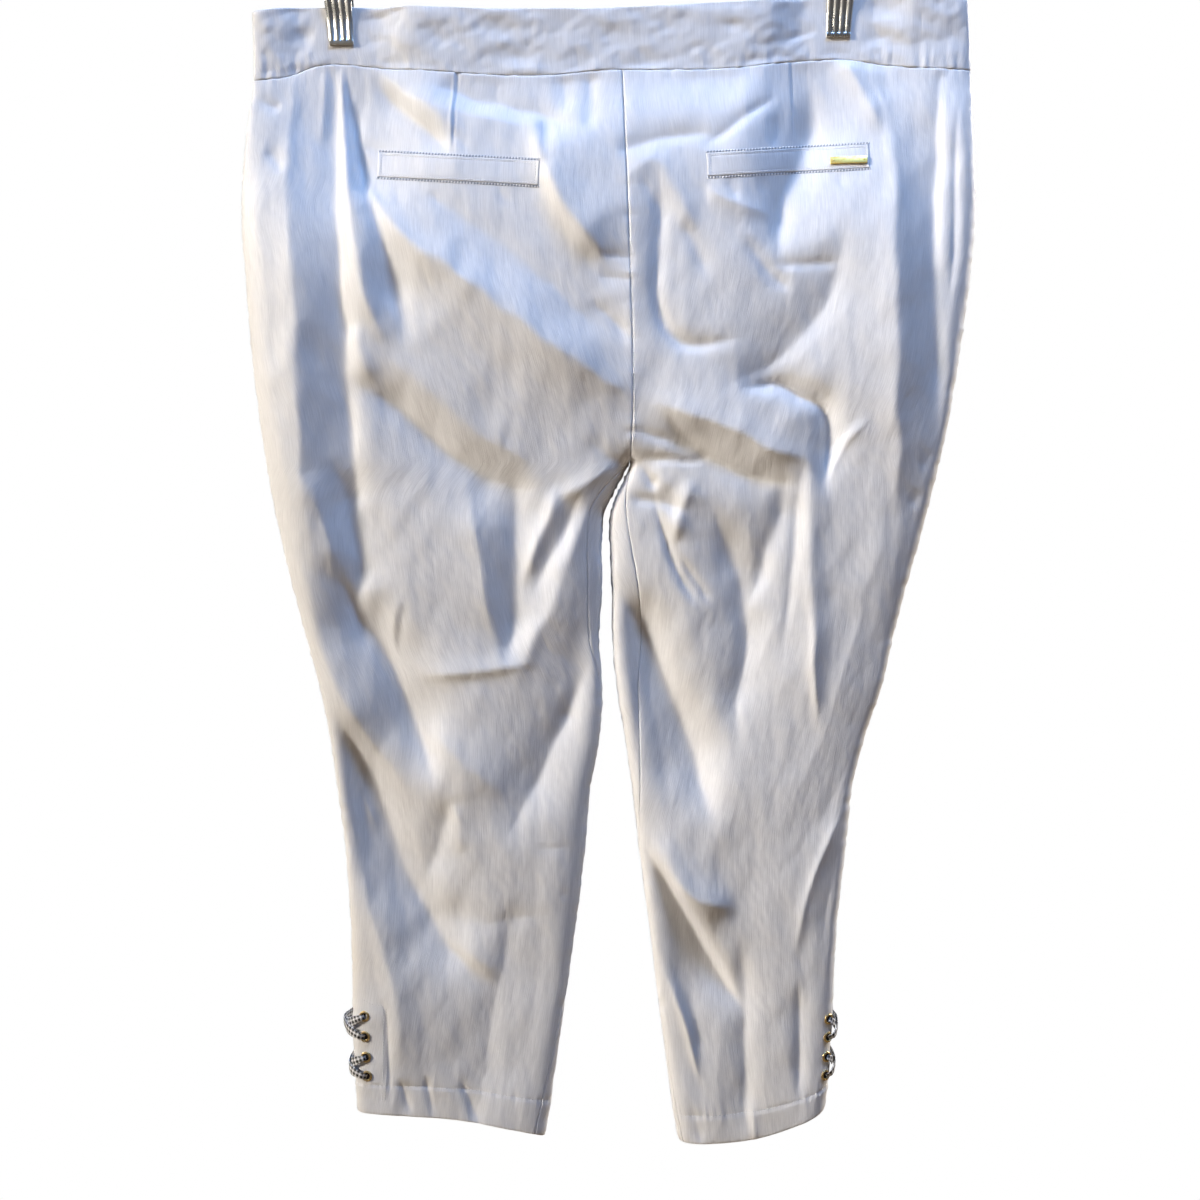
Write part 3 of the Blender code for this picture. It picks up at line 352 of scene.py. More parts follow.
# Folds of the back, from the waist down
BACK_FOLDS = (
    # Left side, seat
    Fold(9, 30, 26, (
        (-244, 135), (-246, 209), (-251, 250), (-249, 291), (-244, 348), (-244, 414), (-242, 479),
        (-235, 545), (-226, 603),
    )),
    Fold(-9, 28, 10, (
        (-207, 137), (-209, 209), (-210, 259), (-209, 308), (-207, 365), (-205, 423), (-202, 472),
        (-198, 529), (-192, 579),
    )),
    Fold(2.2, 5, 4, ((-217, 153), (-219, 185), (-221, 226))),
    Fold(-1.6, 2.5, 2.5, ((-209, 279), (-208, 308), (-207, 336), (-210, 363))),
    Fold(4, 4, 4, ((-203, 149), (-203, 193), (-202, 234), (-199, 275))),
    Fold(6, 9, 12, ((-202, 218), (-199, 267), (-196, 306), (-187, 347), (-168, 397))),
    Fold(-6, 4, 12, ((-198, 146), (-196, 193), (-191, 234), (-182, 275))),
    Fold(-10, 14, 26, ((-198, 210), (-184, 263), (-172, 304), (-162, 343), (-153, 387))),
    Fold(15, 36, 26, (
        (-214, 193), (-197, 238), (-178, 271), (-154, 299), (-124, 322), (-92, 346), (-58, 373), (-24, 397),
        (13, 421), (53, 442),
    )),
    Fold(-3, 20, 16, ((-158, 256), (-117, 275), (-77, 306), (-36, 340), (4, 373), (45, 399))),
    Fold(4, 24, 26, ((-179, 386), (-160, 404), (-140, 422), (-108, 449), (-71, 476), (-40, 491))),
    Fold(-10, 24, 22, (
        (-209, 403), (-188, 421), (-162, 438), (-133, 465), (-106, 488), (-77, 503), (-37, 504),
    )),
    Fold(2.5, 12, 8, ((-199, 364), (-194, 390), (-190, 421))),
    Fold(2, 10, 10, ((-176, 157), (-155, 176), (-134, 190), (-118, 204), (-108, 227))),
    Fold(-4.5, 14, 8, ((-183, 167), (-163, 185), (-145, 201), (-128, 216), (-116, 237))),
    Fold(-5, 10, 9, ((-137, 171), (-99, 182), (-62, 190), (-34, 200), (-6, 214))),
    Fold(2.5, 14, 12, ((-161, 179), (-116, 194), (-75, 204), (-34, 212))),
    Fold(-4, 6, 6, ((-38, 197), (-38, 224), (-37, 255))),
    Fold(11, 8, 34, ((-52, 194), (-44, 219), (-37, 241), (-27, 270), (-7, 299), (20, 326))),
    Fold(-2.2, 6, 5, ((-20, 160), (-20, 180), (-21, 199))),
    Fold(-3, 7, 6, ((0, 155), (0, 188), (-4, 216))),
    Fold(-1.6, 4, 4, ((2, 315), (38, 317))),
    Fold(-1.4, 4, 4, ((0, 332), (35, 336))),
    Fold(-2.4, 5, 6, ((-5, 352), (14, 367), (34, 387))),
    Fold(-1.6, 2, 2, ((-143, 315), (-138, 330), (-132, 345))),
    Fold(-2.4, 5, 4, ((-276, 180), (-265, 187), (-253, 194))),
    Fold(-1.8, 6, 5, ((-270, 225), (-259, 233), (-254, 248))),
    Fold(-1.3, 2.5, 3, ((-181, 254), (-174, 262), (-168, 272))),
    Fold(-1.1, 2.5, 3, ((-197, 246), (-191, 256), (-186, 265))),
    Fold(-1.0, 2, 3, ((-162, 258), (-156, 276))),
    Fold(-1.2, 3, 3, ((-133, 260), (-124, 275))),
    Fold(-1.1, 2.5, 3, ((-76, 259), (-69, 274))),
    Fold(-1.2, 3, 3, ((-190, 218), (-175, 226), (-161, 233))),
    Fold(-1.0, 2.5, 2.5, ((-119, 209), (-106, 221), (-100, 229))),
    Fold(-1.5, 6, 7, ((-9, 465), (6, 477), (22, 490))),
    Fold(3, 8, 9, ((-34, 516), (-6, 500), (24, 482))),
    # Left thigh
    Fold(-9, 18, 22, ((-224, 478), (-212, 496), (-205, 516), (-200, 542), (-198, 570), (-201, 608))),
    Fold(4, 12, 14, ((-245, 488), (-229, 514), (-221, 545), (-217, 586))),
    Fold(4, 12, 20, ((-257, 512), (-245, 586), (-225, 644), (-204, 688), (-177, 730), (-141, 770))),
    Fold(-18, 26, 18, (
        (-220, 567), (-204, 597), (-185, 625), (-171, 650), (-158, 683), (-147, 714), (-138, 752),
    )),
    Fold(4, 22, 20, ((-165, 682), (-145, 704), (-127, 719), (-108, 733), (-77, 761))),
    Fold(-8, 22, 28, ((-65, 479), (-69, 540), (-70, 577), (-72, 613), (-79, 659)), 0.5),
    Fold(4, 20, 18, ((-107, 495), (-98, 547), (-93, 597), (-83, 638)), 0.6),
    Fold(4, 8, 10, ((-29, 499), (-41, 532), (-53, 558), (-66, 592)), 0.7),
    Fold(-3, 10, 8, ((-14, 504), (-26, 539), (-40, 565), (-58, 600)), 0.7),
    Fold(3.5, 10, 14, ((27, 480), (4, 508), (-13, 539), (-27, 570), (-42, 607), (-59, 643), (-79, 687))),
    Fold(-8, 24, 18, ((1, 590), (-8, 639), (-22, 680), (-41, 721), (-61, 761), (-84, 802))),
    Fold(3, 4, 16, ((-154, 660), (-119, 657), (-86, 654), (-49, 647))),
    Fold(1.2, 2, 2, ((-161, 587), (-170, 622), (-166, 646))),
    Fold(-1.2, 2.5, 2.5, ((-157, 591), (-165, 628), (-162, 646))),
    Fold(2, 5, 5, ((-9, 628), (0, 647), (3, 667))),
    Fold(-0.9, 2, 3, ((-40, 693), (-9, 695))),
    Fold(-0.8, 2, 3, ((-63, 802), (-12, 801))),
    Fold(-1.2, 2, 2, ((-39, 839), (-15, 840))),
    # Left shin
    Fold(-21, 30, 24, (
        (-227, 680), (-195, 738), (-180, 776), (-167, 812), (-151, 847), (-130, 880), (-104, 905),
        (-86, 917),
    )),
    Fold(5, 20, 18, ((-169, 828), (-154, 848), (-136, 872), (-114, 887), (-81, 908))),
    Fold(-4.5, 28, 28, ((-69, 835), (-81, 884), (-93, 933), (-100, 982), (-103, 1039))),
    Fold(2, 3, 3, ((-206, 733), (-198, 757), (-186, 790))),
    Fold(4, 12, 18, ((-207, 800), (-192, 851), (-176, 892), (-169, 936), (-165, 997))),
    Fold(-3.5, 10, 8, ((-121, 757), (-134, 793), (-147, 829))),
    Fold(2, 6, 6, ((-123, 760), (-117, 783), (-119, 806))),
    Fold(-2, 12, 20, ((-148, 852), (-118, 859), (-85, 861), (-36, 855))),
    Fold(-1.2, 2, 2, ((-203, 921), (-191, 926), (-181, 930), (-179, 956), (-178, 989), (-178, 1018))),
    Fold(-1.6, 3, 3, ((-171, 986), (-160, 1019))),
    Fold(-1.6, 3, 3, ((-150, 983), (-142, 1021))),
    Fold(-2, 4, 5, ((-122, 987), (-103, 1031))),
    Fold(-1.2, 2, 2, ((-54, 1004), (-55, 1032))),
    # Right side, seat
    Fold(5, 6, 12, ((195, 145), (219, 183), (240, 225)), 1.4),
    Fold(9, 28, 22, (
        (223, 142), (240, 200), (246, 241), (246, 299), (246, 356), (246, 422), (247, 479), (240, 545),
    )),
    Fold(-8, 24, 7, ((287, 143), (284, 209), (281, 275), (280, 340), (282, 406), (281, 455), (271, 512))),
    Fold(-3, 5, 4, ((301, 185), (298, 250), (297, 308), (291, 367))),
    Fold(-3, 6, 8, ((13, 231), (40, 224), (60, 219), (81, 216), (112, 214))),
    Fold(2.5, 9, 9, ((16, 257), (39, 243), (54, 241), (65, 258), (76, 280), (91, 309))),
    Fold(-4.5, 6, 7, (
        (56, 230), (56, 271), (53, 312), (51, 345), (56, 371), (70, 387), (94, 389), (134, 380),
    )),
    Fold(-1.8, 6, 6, ((71, 286), (83, 309), (94, 337))),
    Fold(2, 5, 5, ((87, 255), (106, 270), (125, 278), (153, 286))),
    Fold(-1.2, 3, 3, ((90, 255), (95, 277))),
    Fold(-1.2, 3, 3, ((109, 254), (119, 272))),
    Fold(-1.0, 2.5, 3, ((138, 253), (144, 267))),
    Fold(-1.2, 3, 3, ((200, 250), (208, 267))),
    Fold(-1.1, 2.5, 2.5, ((39, 251), (49, 268), (55, 282))),
    Fold(-2.5, 6, 5, ((122, 297), (133, 317), (145, 331), (164, 348))),
    Fold(-8, 12, 18, ((186, 178), (177, 220), (166, 248), (157, 273), (152, 301), (154, 328))),
    Fold(-2.2, 4, 6, ((143, 323), (173, 325), (207, 323))),
    Fold(-6, 24, 16, ((211, 285), (202, 324), (190, 354), (168, 384), (142, 407), (100, 428))),
    Fold(-2, 4, 4, ((152, 200), (150, 231))),
    Fold(-2.8, 4, 6, ((85, 230), (110, 215), (130, 200), (157, 186))),
    # Right crotch and thigh
    Fold(-10, 7, 10, ((112, 428), (147, 423), (166, 432), (184, 440), (190, 458), (190, 486), (186, 519))),
    Fold(2, 2.5, 2.5, ((226, 451), (206, 470), (193, 495), (187, 514))),
    Fold(7, 12, 22, ((36, 431), (62, 442), (85, 450), (114, 462), (142, 475), (185, 493))),
    Fold(-7, 9, 10, ((49, 446), (80, 471), (103, 488), (130, 500), (171, 509))),
    Fold(-3, 4, 5, ((28, 457), (48, 464), (62, 469), (80, 478))),
    Fold(-2.6, 3, 4, ((26, 480), (52, 483), (76, 485), (98, 482))),
    Fold(-4, 4, 6, ((27, 484), (39, 494), (50, 510))),
    Fold(-3.4, 5, 7, ((17, 515), (41, 517), (59, 520), (79, 531))),
    Fold(1.5, 7, 7, ((40, 491), (65, 507))),
    Fold(-3.4, 3, 4, ((45, 514), (54, 543), (61, 566), (70, 586), (86, 609))),
    Fold(-2, 2.5, 3, ((64, 560), (78, 581), (94, 606))),
    Fold(4, 8, 9, ((81, 496), (70, 524), (61, 554))),
    Fold(-8, 18, 18, ((87, 513), (106, 555), (119, 600), (120, 641), (113, 682), (115, 733))),
    Fold(-5, 14, 12, ((158, 494), (150, 531), (136, 568), (122, 608)), 0.8),
    Fold(-2.6, 5, 4, ((168, 482), (162, 543), (156, 601), (148, 651))),
    Fold(4, 8, 12, ((174, 462), (174, 535), (175, 601), (176, 650), (176, 716))),
    Fold(1.6, 2.5, 2.5, ((169, 596), (175, 626), (175, 657), (179, 706))),
    Fold(1.5, 14, 14, ((242, 479), (230, 553), (219, 593), (205, 642), (190, 691), (167, 740), (142, 781))),
    Fold(-1.5, 12, 8, (
        (277, 455), (258, 537), (246, 590), (235, 635), (221, 684), (205, 733), (182, 777), (155, 812),
        (113, 856),
    )),
    Fold(-1.2, 5, 5, ((278, 480), (267, 496))),
    Fold(-1.2, 5, 5, ((268, 512), (258, 528))),
    Fold(-21, 30, 16, ((1, 565), (30, 617), (46, 650), (60, 683), (74, 719), (82, 755), (86, 795))),
    Fold(-4, 3, 3, ((22, 631), (29, 681), (28, 722), (24, 763))),
    # Right shin
    Fold(9, 16, 16, ((14, 790), (42, 814), (69, 839), (92, 849), (112, 851))),
    Fold(-16, 24, 5, ((19, 776), (46, 824), (67, 860), (83, 888), (96, 911), (117, 943))),
    Fold(-4, 12, 12, ((30, 823), (44, 869), (60, 912), (72, 960), (78, 1026))),
    Fold(5, 4, 6, ((44, 891), (58, 927), (67, 955), (78, 1000))),
    Fold(-5, 18, 10, ((112, 871), (114, 912), (114, 953), (114, 994), (115, 1051))),
    Fold(-2.8, 5, 5, ((159, 909), (159, 962), (157, 1014))),
    Fold(2.4, 4, 5, ((208, 756), (185, 798), (168, 839), (155, 896))),
    Fold(-2, 5, 6, ((196, 796), (185, 847), (179, 903))),
    Fold(-1.8, 4, 4, ((68, 1013), (77, 1046))),
    Fold(1.4, 4, 4, ((119, 1010), (122, 1048))),
)


# Folds of the front, like the back's but fewer
FRONT_FOLDS = (
    # Tummy and hips
    Fold(-8, 6, 9, ((-203, 176), (-200, 230), (-190, 290), (-172, 350), (-150, 400)), 2.2),
    Fold(5, 10, 14, ((-190, 172), (-180, 220), (-165, 270), (-142, 316)), 1.5),
    Fold(8, 20, 26, ((-176, 246), (-136, 304), (-86, 352), (-34, 396), (18, 432))),
    Fold(-5, 24, 13, ((-156, 318), (-108, 366), (-56, 408), (-4, 436))),
    Fold(-6, 16, 10, ((-232, 180), (-238, 260), (-239, 350), (-232, 430), (-226, 474))),
    Fold(4, 12, 13, ((-258, 186), (-263, 262), (-262, 352), (-255, 444))),
    Fold(2.5, 8, 10, ((-165, 178), (-120, 193), (-72, 205), (-32, 216))),
    Fold(-3, 7, 6, ((-130, 174), (-82, 185), (-36, 197), (4, 214))),
    Fold(-5, 12, 5, ((-40, 214), (-18, 260), (2, 306), (16, 352)), 1.2),
    Fold(-2, 5, 4, ((-2, 178), (3, 214), (8, 246))),
    Fold(-7, 9, 6, ((206, 178), (203, 236), (192, 296), (172, 352), (148, 394)), 2),
    Fold(4.5, 12, 10, ((220, 172), (234, 230), (242, 300), (245, 380), (240, 456)), 1.5),
    Fold(6, 18, 22, ((192, 250), (158, 304), (118, 352), (78, 398), (36, 432))),
    Fold(-4.5, 13, 22, ((206, 306), (168, 356), (128, 400), (82, 434))),
    Fold(-7, 10, 12, ((268, 178), (268, 262), (265, 346), (262, 424), (256, 478))),
    Fold(2.5, 5, 4, ((290, 214), (289, 280), (285, 346))),
    Fold(2.2, 9, 8, ((176, 180), (136, 194), (92, 204), (56, 216))),
    Fold(-2.5, 5, 6, ((44, 248), (84, 242), (126, 250))),
    Fold(-2, 4, 5, ((150, 214), (128, 238), (96, 262))),
    # Whiskers from the crotch
    Fold(-4, 6, 5, ((14, 470), (-26, 458), (-70, 436), (-112, 420))),
    Fold(-3, 5, 4, ((12, 492), (-24, 488), (-66, 474), (-100, 468))),
    Fold(3, 6, 6, ((4, 478), (-36, 470), (-84, 452))),
    Fold(-4, 5, 6, ((40, 468), (78, 454), (120, 434), (158, 422))),
    Fold(-3, 4, 5, ((40, 494), (76, 490), (112, 478), (146, 474))),
    Fold(3, 6, 6, ((46, 480), (86, 468), (128, 452))),
    # Thighs and knees
    Fold(-6, 14, 12, ((-196, 488), (-184, 556), (-158, 624), (-124, 690), (-84, 748))),
    Fold(5, 14, 12, ((-232, 520), (-216, 592), (-188, 660), (-150, 726), (-116, 770))),
    Fold(-7, 11, 6, ((-14, 540), (-22, 600), (-36, 664), (-54, 724), (-72, 780))),
    Fold(4, 8, 9, ((-44, 530), (-58, 590), (-76, 644))),
    Fold(-2, 5, 4, ((-156, 700), (-118, 706), (-74, 696))),
    Fold(-1.6, 4, 4, ((-146, 738), (-112, 748), (-64, 742))),
    Fold(-6, 12, 14, ((196, 486), (178, 556), (152, 622), (122, 690), (92, 750))),
    Fold(4, 12, 12, ((228, 520), (212, 592), (190, 660), (160, 730))),
    Fold(-8, 7, 12, ((26, 560), (36, 624), (50, 688), (68, 748), (84, 796))),
    Fold(4, 9, 8, ((62, 536), (72, 596), (88, 652))),
    Fold(-2, 4, 5, ((92, 706), (126, 714), (164, 704))),
    Fold(-1.5, 4, 4, ((88, 752), (120, 758), (152, 750))),
    # Shins
    Fold(-6, 14, 12, ((-198, 762), (-178, 816), (-150, 868), (-128, 926), (-122, 990)), 1.2),
    Fold(4, 12, 12, ((-168, 790), (-146, 836), (-108, 880), (-88, 940))),
    Fold(3, 10, 12, ((-176, 880), (-160, 938), (-154, 994))),
    Fold(-6, 12, 14, ((166, 776), (150, 826), (128, 878), (112, 930), (108, 1000)), 1.2),
    Fold(4, 12, 12, ((126, 800), (104, 846), (84, 900), (74, 962))),
    Fold(3, 10, 12, ((160, 868), (146, 930), (142, 1006))),
)

# Creases of the waistband
BAND_FOLDS = {
    Face.BACK: (
        Fold(-1.0, 3, 3, ((-195, 124), (-178, 118), (-160, 117))),
        Fold(-0.9, 8, 8, ((-246, 130), (-232, 127), (-218, 124))),
        Fold(-0.7, 3, 3, ((-272, 141), (-264, 152), (-258, 166))),
        Fold(0.6, 4, 4, ((-268, 136), (-254, 150), (-246, 166))),
        Fold(-0.5, 2.5, 2.5, ((-177, 152), (-162, 155), (-148, 156))),
        Fold(-0.5, 2.5, 2.5, ((-174, 160), (-160, 162), (-150, 163))),
        Fold(0.8, 12, 12, ((-170, 136), (-120, 142), (-60, 146))),
        Fold(-0.6, 10, 10, ((-110, 124), (-60, 130), (-10, 132))),
        Fold(-0.45, 2.5, 2.5, ((-33, 156), (-31, 170))),
        Fold(-0.45, 2.5, 2.5, ((-17, 157), (-16, 170))),
        Fold(-0.4, 2.5, 2.5, ((0, 156), (1, 169))),
        Fold(-1.1, 4, 4, ((118, 146), (152, 143), (188, 134), (200, 130))),
        Fold(0.9, 10, 10, ((60, 140), (110, 134), (160, 128))),
        Fold(-0.6, 2.5, 2.5, ((147, 152), (160, 155), (172, 159))),
        Fold(-0.5, 2.5, 2.5, ((136, 158), (150, 161), (164, 163))),
        Fold(-0.6, 3, 3, ((218, 134), (226, 141), (230, 150))),
        Fold(-0.6, 3, 3, ((224, 128), (236, 136), (242, 148))),
        Fold(-1.2, 14, 12, ((268, 112), (270, 136), (268, 166))),
    ),
    Face.FRONT: (
        Fold(-0.9, 3, 3, ((-196, 126), (-178, 120), (-158, 119))),
        Fold(0.8, 12, 12, ((-168, 140), (-110, 144), (-50, 142))),
        Fold(-0.6, 10, 10, ((-120, 126), (-60, 128), (0, 134))),
        Fold(-0.9, 4, 4, ((112, 142), (150, 141), (192, 132))),
        Fold(0.8, 10, 10, ((50, 136), (100, 132), (156, 130))),
        Fold(-0.9, 13, 12, ((266, 114), (268, 138), (266, 166))),
        Fold(-0.8, 10, 10, ((-250, 118), (-248, 140), (-252, 164))),
    ),
}


def smoothstep(low: float, high: float, value: np.ndarray) -> np.ndarray:
    """0 before low, 1 past high, and a soft step between them; low may be the greater."""
    share = np.clip((np.asarray(value, float) - low) / (high - low), 0, 1)
    return share * share * (3 - 2 * share)


def hump(offset: np.ndarray, width: float) -> np.ndarray:
    """1 where the offset is 0, with a soft fall to 0 past the width on either side."""
    return np.exp(-((offset / width) ** 2))


def walked(points: np.ndarray) -> np.ndarray:
    """The way along a line of points to each of them."""
    return np.concatenate([[0], np.cumsum(np.linalg.norm(np.diff(points, axis=0), axis=1))])


@lru_cache(maxsize=None)
def column(table: tuple, name: str) -> tuple[np.ndarray, np.ndarray, np.ndarray]:
    """One column of a table against its first column, with the smooth curve's slopes.

    Args:
        table: Rows of one dataclass, in rising order of their first field.
        name: The column's field.

    Returns:
        The first column, the named column, and the slope at each row.
    """
    first = next(iter(table[0].__dataclass_fields__))
    rows = np.array([getattr(row, first) for row in table], float)
    heights = np.array([getattr(row, name) for row in table], float)
    order = np.arange(len(rows))
    before, after = np.maximum(order - 1, 0), np.minimum(order + 1, len(rows) - 1)
    return rows, heights, (heights[after] - heights[before]) / (rows[after] - rows[before])


def read(table: tuple, values: np.ndarray, name: str) -> np.ndarray:
    """A smooth curve through one column of a table, read at many values of its first column.

    Args:
        table: Rows of one dataclass, in rising order of their first field.
        values: The places in the first column.
        name: The column's field.

    Returns:
        The column's value at each place.
    """
    rows, heights, slopes = column(table, name)
    values = np.clip(np.asarray(values, float), rows[0], rows[-1])
    i = np.clip(np.searchsorted(rows, values, "right") - 1, 0, len(rows) - 2)
    span = rows[i + 1] - rows[i]
    t = (values - rows[i]) / span
    rise = heights[i + 1] - heights[i]
    return (
        heights[i]
        + rise * t * t * (3 - 2 * t)
        + span * slopes[i] * t * (1 - t) ** 2
        - span * slopes[i + 1] * t * t * (1 - t)
    )


@dataclass(frozen=True)
class Waves:
    """Soft chance waves over the cloth, the same each run."""

    height: float
    length: float
    stretch: float
    seed: int
    count: int = 26

    def at(self, x: np.ndarray, drop: np.ndarray) -> np.ndarray:
        """The waves' height at places of the elevation.

        Args:
            x: The places' x.
            drop: Their drops.

        Returns:
            The heights, of the same shape.
        """
        chance = np.random.RandomState(self.seed)
        total = np.zeros_like(np.asarray(x, float))
        for _ in range(self.count):
            angle, phase = chance.uniform(0, math.tau, 2)
            number = math.tau / (self.length * chance.uniform(0.7, 1.5))
            total += np.sin(number * (x * math.cos(angle) + drop * math.sin(angle) / self.stretch) + phase)
        return self.height * total * math.sqrt(2 / self.count)


@dataclass(frozen=True)
class Drape:
    """The garment's outer surface, its folds and its puckers.

    A hold is a distance from a seam within which the folds flatten, and a shift keeps the waves of
    two seams or faces apart. Folds wander by chance as their width grows from fine to broad.
    """

    side_hold: float = 20
    inseam_hold: float = 28
    waist_hold: float = 9
    crotch_hold: float = 20
    least_depth: float = 2.4
    fine: float = 2
    broad: float = 8
    front_shift: float = 500
    inner_shift: float = 300
    waist_shift: float = 700
    wander_x: Waves = Waves(0.8, 42, 1.5, 11)
    wander_drop: Waves = Waves(0.8, 42, 1.5, 12)
    swells: tuple[Waves, ...] = (
        Waves(0.4, 60, 3.0, 21),
        Waves(0.15, 20, 2.4, 22),
        Waves(0.05, 7, 2.0, 23),
    )
    pucker: Waves = Waves(0.24, 9, 1, 31)
    pucker_reach: float = 6
    limit: float = 19

    def side_edge(self, leg: Leg, drop: np.ndarray) -> np.ndarray:
        """The side seam's x."""
        return read(SECTIONS, drop, f"outer_{leg.word}")

    def inner_edge(self, leg: Leg, drop: np.ndarray) -> np.ndarray:
        """The x of the panel's other edge: the centre seam, and the inseam from the crotch down."""
        centre, inseam = read(CENTRE_SEAM, drop, "x"), read(INSEAMS, drop, leg.word)
        return np.where(np.asarray(drop) <= CROTCH_DROP, centre, inseam) + leg * HALF_GAP

    def form(
        self, leg: Leg, face: Face | np.ndarray, across: np.ndarray, drop: np.ndarray
    ) -> tuple[np.ndarray, np.ndarray, np.ndarray]:
        """The surface without its folds.

        Args:
            leg: Which half.
            face: Which face, or one for each place.
            across: From the side seam, 0, to the centre seam or inseam, 1.
            drop: The nominal drop.

        Returns:
            The x, depth and true drop of each place.
        """
        slim = smoothstep(CROTCH_DROP - THIGH_RISE, CROTCH_DROP + THIGH_FALL, drop)
        seat_share = 0.5 * (across + 1 - np.cos(across * math.pi / 2))
        leg_share = 0.4 * across + 0.3 * (1 - np.cos(across * math.pi))
        share = seat_share + (leg_share - seat_share) * slim
        outer, inner = self.side_edge(leg, drop), self.inner_edge(leg, drop)
        x = outer + (inner - outer) * share
        back, front = read(SECTIONS, drop, "back"), read(SECTIONS, drop, "front")
        depth = np.where(np.asarray(face) == Face.BACK, back, front)
        parting = np.clip((drop - CROTCH_DROP + CROTCH_RISE) / CROTCH_RISE, 0, 1)
        depth = depth * self.rounded(share * (1 + slim))
        depth = depth * self.rounded(1 - parting * np.maximum(2 * share - 1, 0))
        reach = CLIP_REACH + CLIP_SPREAD * np.maximum(drop - CLIP_TIP_DROP, 0)
        beside = np.minimum(abs(x - CLIP_OFFSET), abs(x + CLIP_OFFSET))
        pinch = smoothstep(CLIP_TIP_DROP + CLIP_FADE, CLIP_TIP_DROP, drop)
        pinch = pinch * smoothstep(CLIP_FLAT + reach, CLIP_FLAT, beside)
        depth = depth + (np.minimum(BAND_WALL + GAP, depth) - depth) * pinch
        lowered = read(WAIST, x, "seam") - WAIST_DROP
        lowered = lowered * smoothstep(SETTLE_DROP, WAIST_DROP, drop)
        hem = (read(HEMS, across, leg.word) - HEM_DROP) * smoothstep(HEM_DROP - HEM_SWING, HEM_DROP, drop)
        true_drop = drop + np.where(drop >= WAIST_DROP, lowered + hem + HALF_GAP, 0)
        return x, depth + HALF_GAP, true_drop

    @staticmethod
    def rounded(share: np.ndarray) -> np.ndarray:
        """The depth of a superellipse's quarter, from its edge, 0, to its middle, 1."""
        return (1 - (1 - np.clip(share, 0, 1)) ** ROUNDNESS) ** (1 / ROUNDNESS)

    def points(self, leg: Leg, face: Face | np.ndarray, across: np.ndarray, drop: np.ndarray) -> np.ndarray:
        """The places of form as points."""
        x, depth, true_drop = self.form(leg, face, across, drop)
        return np.stack([x, face * depth, -true_drop], axis=-1)

    def outward(self, leg: Leg, across: np.ndarray, drop: np.ndarray, sides: np.ndarray) -> np.ndarray:
        """Unit normals of the surface before its folds, square to the seams on the panel's edges.

        Args:
            leg: Which half.
            across: From the side seam, 0, to the other edge, 1.
            drop: The nominal drop.
            sides: Which face each place is on.

        Returns:
            A normal for each place.
        """
        step, fall = 0.004, 1.5
        wide = self.points(leg, sides, np.clip(across + step, 0, 1), drop)
        wide = wide - self.points(leg, sides, np.clip(across - step, 0, 1), drop)
        lowest = np.minimum(drop + fall, HEM_DROP)
        tall = self.points(leg, sides, np.clip(across, 0, 1), lowest)
        tall = tall - self.points(leg, sides, np.clip(across, 0, 1), lowest - 2 * fall)
        normals = np.cross(wide, tall)
        normals *= np.where(normals[..., 1] * sides > 0, 1, -1)[..., None]
        seat_edge = (across >= 1) & (drop <= CROTCH_DROP)
        normals[..., 0] = np.where(seat_edge, 0, normals[..., 0])
        normals = unit(normals)
        normals[across <= 0] = (leg, 0, 0)
        normals[(across >= 1) & (drop > CROTCH_DROP)] = (-leg, 0, 0)
        return normals

    @staticmethod
    def seen(x: np.ndarray, depth: np.ndarray, true_drop: np.ndarray) -> tuple[np.ndarray, np.ndarray]:
        """Where a place of the surface shows on the elevation of its face."""
        enlarge = SIGHT_DISTANCE / (SIGHT_DISTANCE - depth)
        return SIGHT_X + (x - SIGHT_X) * enlarge, SIGHT_DROP + (true_drop - SIGHT_DROP) * enlarge

    def relief(self, leg: Leg, face: Face, around: np.ndarray, drop: np.ndarray) -> np.ndarray:
        """How far folds, swells and puckers raise a panel.

        Args:
            leg: Which half.
            face: Whose folds are read.
            around: The place across that face, 0 to 1.
            drop: The nominal drop.

        Returns:
            The rise along the outward normal.
        """
        x, depth, true_drop = self.form(leg, face, around, drop)
        seen_x, seen_drop = self.seen(x, depth, true_drop)
        wander_x, wander_drop = self.wander_x.at(seen_x, seen_drop), self.wander_drop.at(seen_x, seen_drop)
        folds = BACK_FOLDS if face == Face.BACK else FRONT_FOLDS
        shift = 0 if face == Face.BACK else self.front_shift
        raised = np.zeros_like(seen_x)
        for fold in folds:
            share = smoothstep(self.fine, self.broad, min(fold.right, fold.left))
            raised = raised + fold.lift(seen_x + wander_x * share, seen_drop + wander_drop * share)
        raised = self.limit * np.tanh(raised / self.limit)
        raised = raised + sum(wave.at(seen_x + shift, seen_drop) for wave in self.swells)
        outer, inner = self.side_edge(leg, drop), self.inner_edge(leg, drop)
        from_side, from_inner = abs(x - outer), abs(x - inner)
        legs = smoothstep(CROTCH_DROP - CROTCH_RISE, CROTCH_DROP + self.crotch_hold, drop)
        hold = smoothstep(0, self.side_hold, from_side)
        hold = hold * (1 - legs * (1 - smoothstep(0, self.inseam_hold, from_inner)))
        hold = hold * smoothstep(WAIST_DROP - 2, WAIST_DROP + self.waist_hold, drop)
        raised = raised * hold
        for distance, along in (
            (from_side, drop),
            (from_inner, drop + self.inner_shift),
            (drop - WAIST_DROP, x + self.waist_shift),
        ):
            ripple = self.pucker.at(along, np.zeros_like(along))
            raised = raised + ripple * hump(distance, self.pucker_reach)
        return raised


DRAPE = Drape()


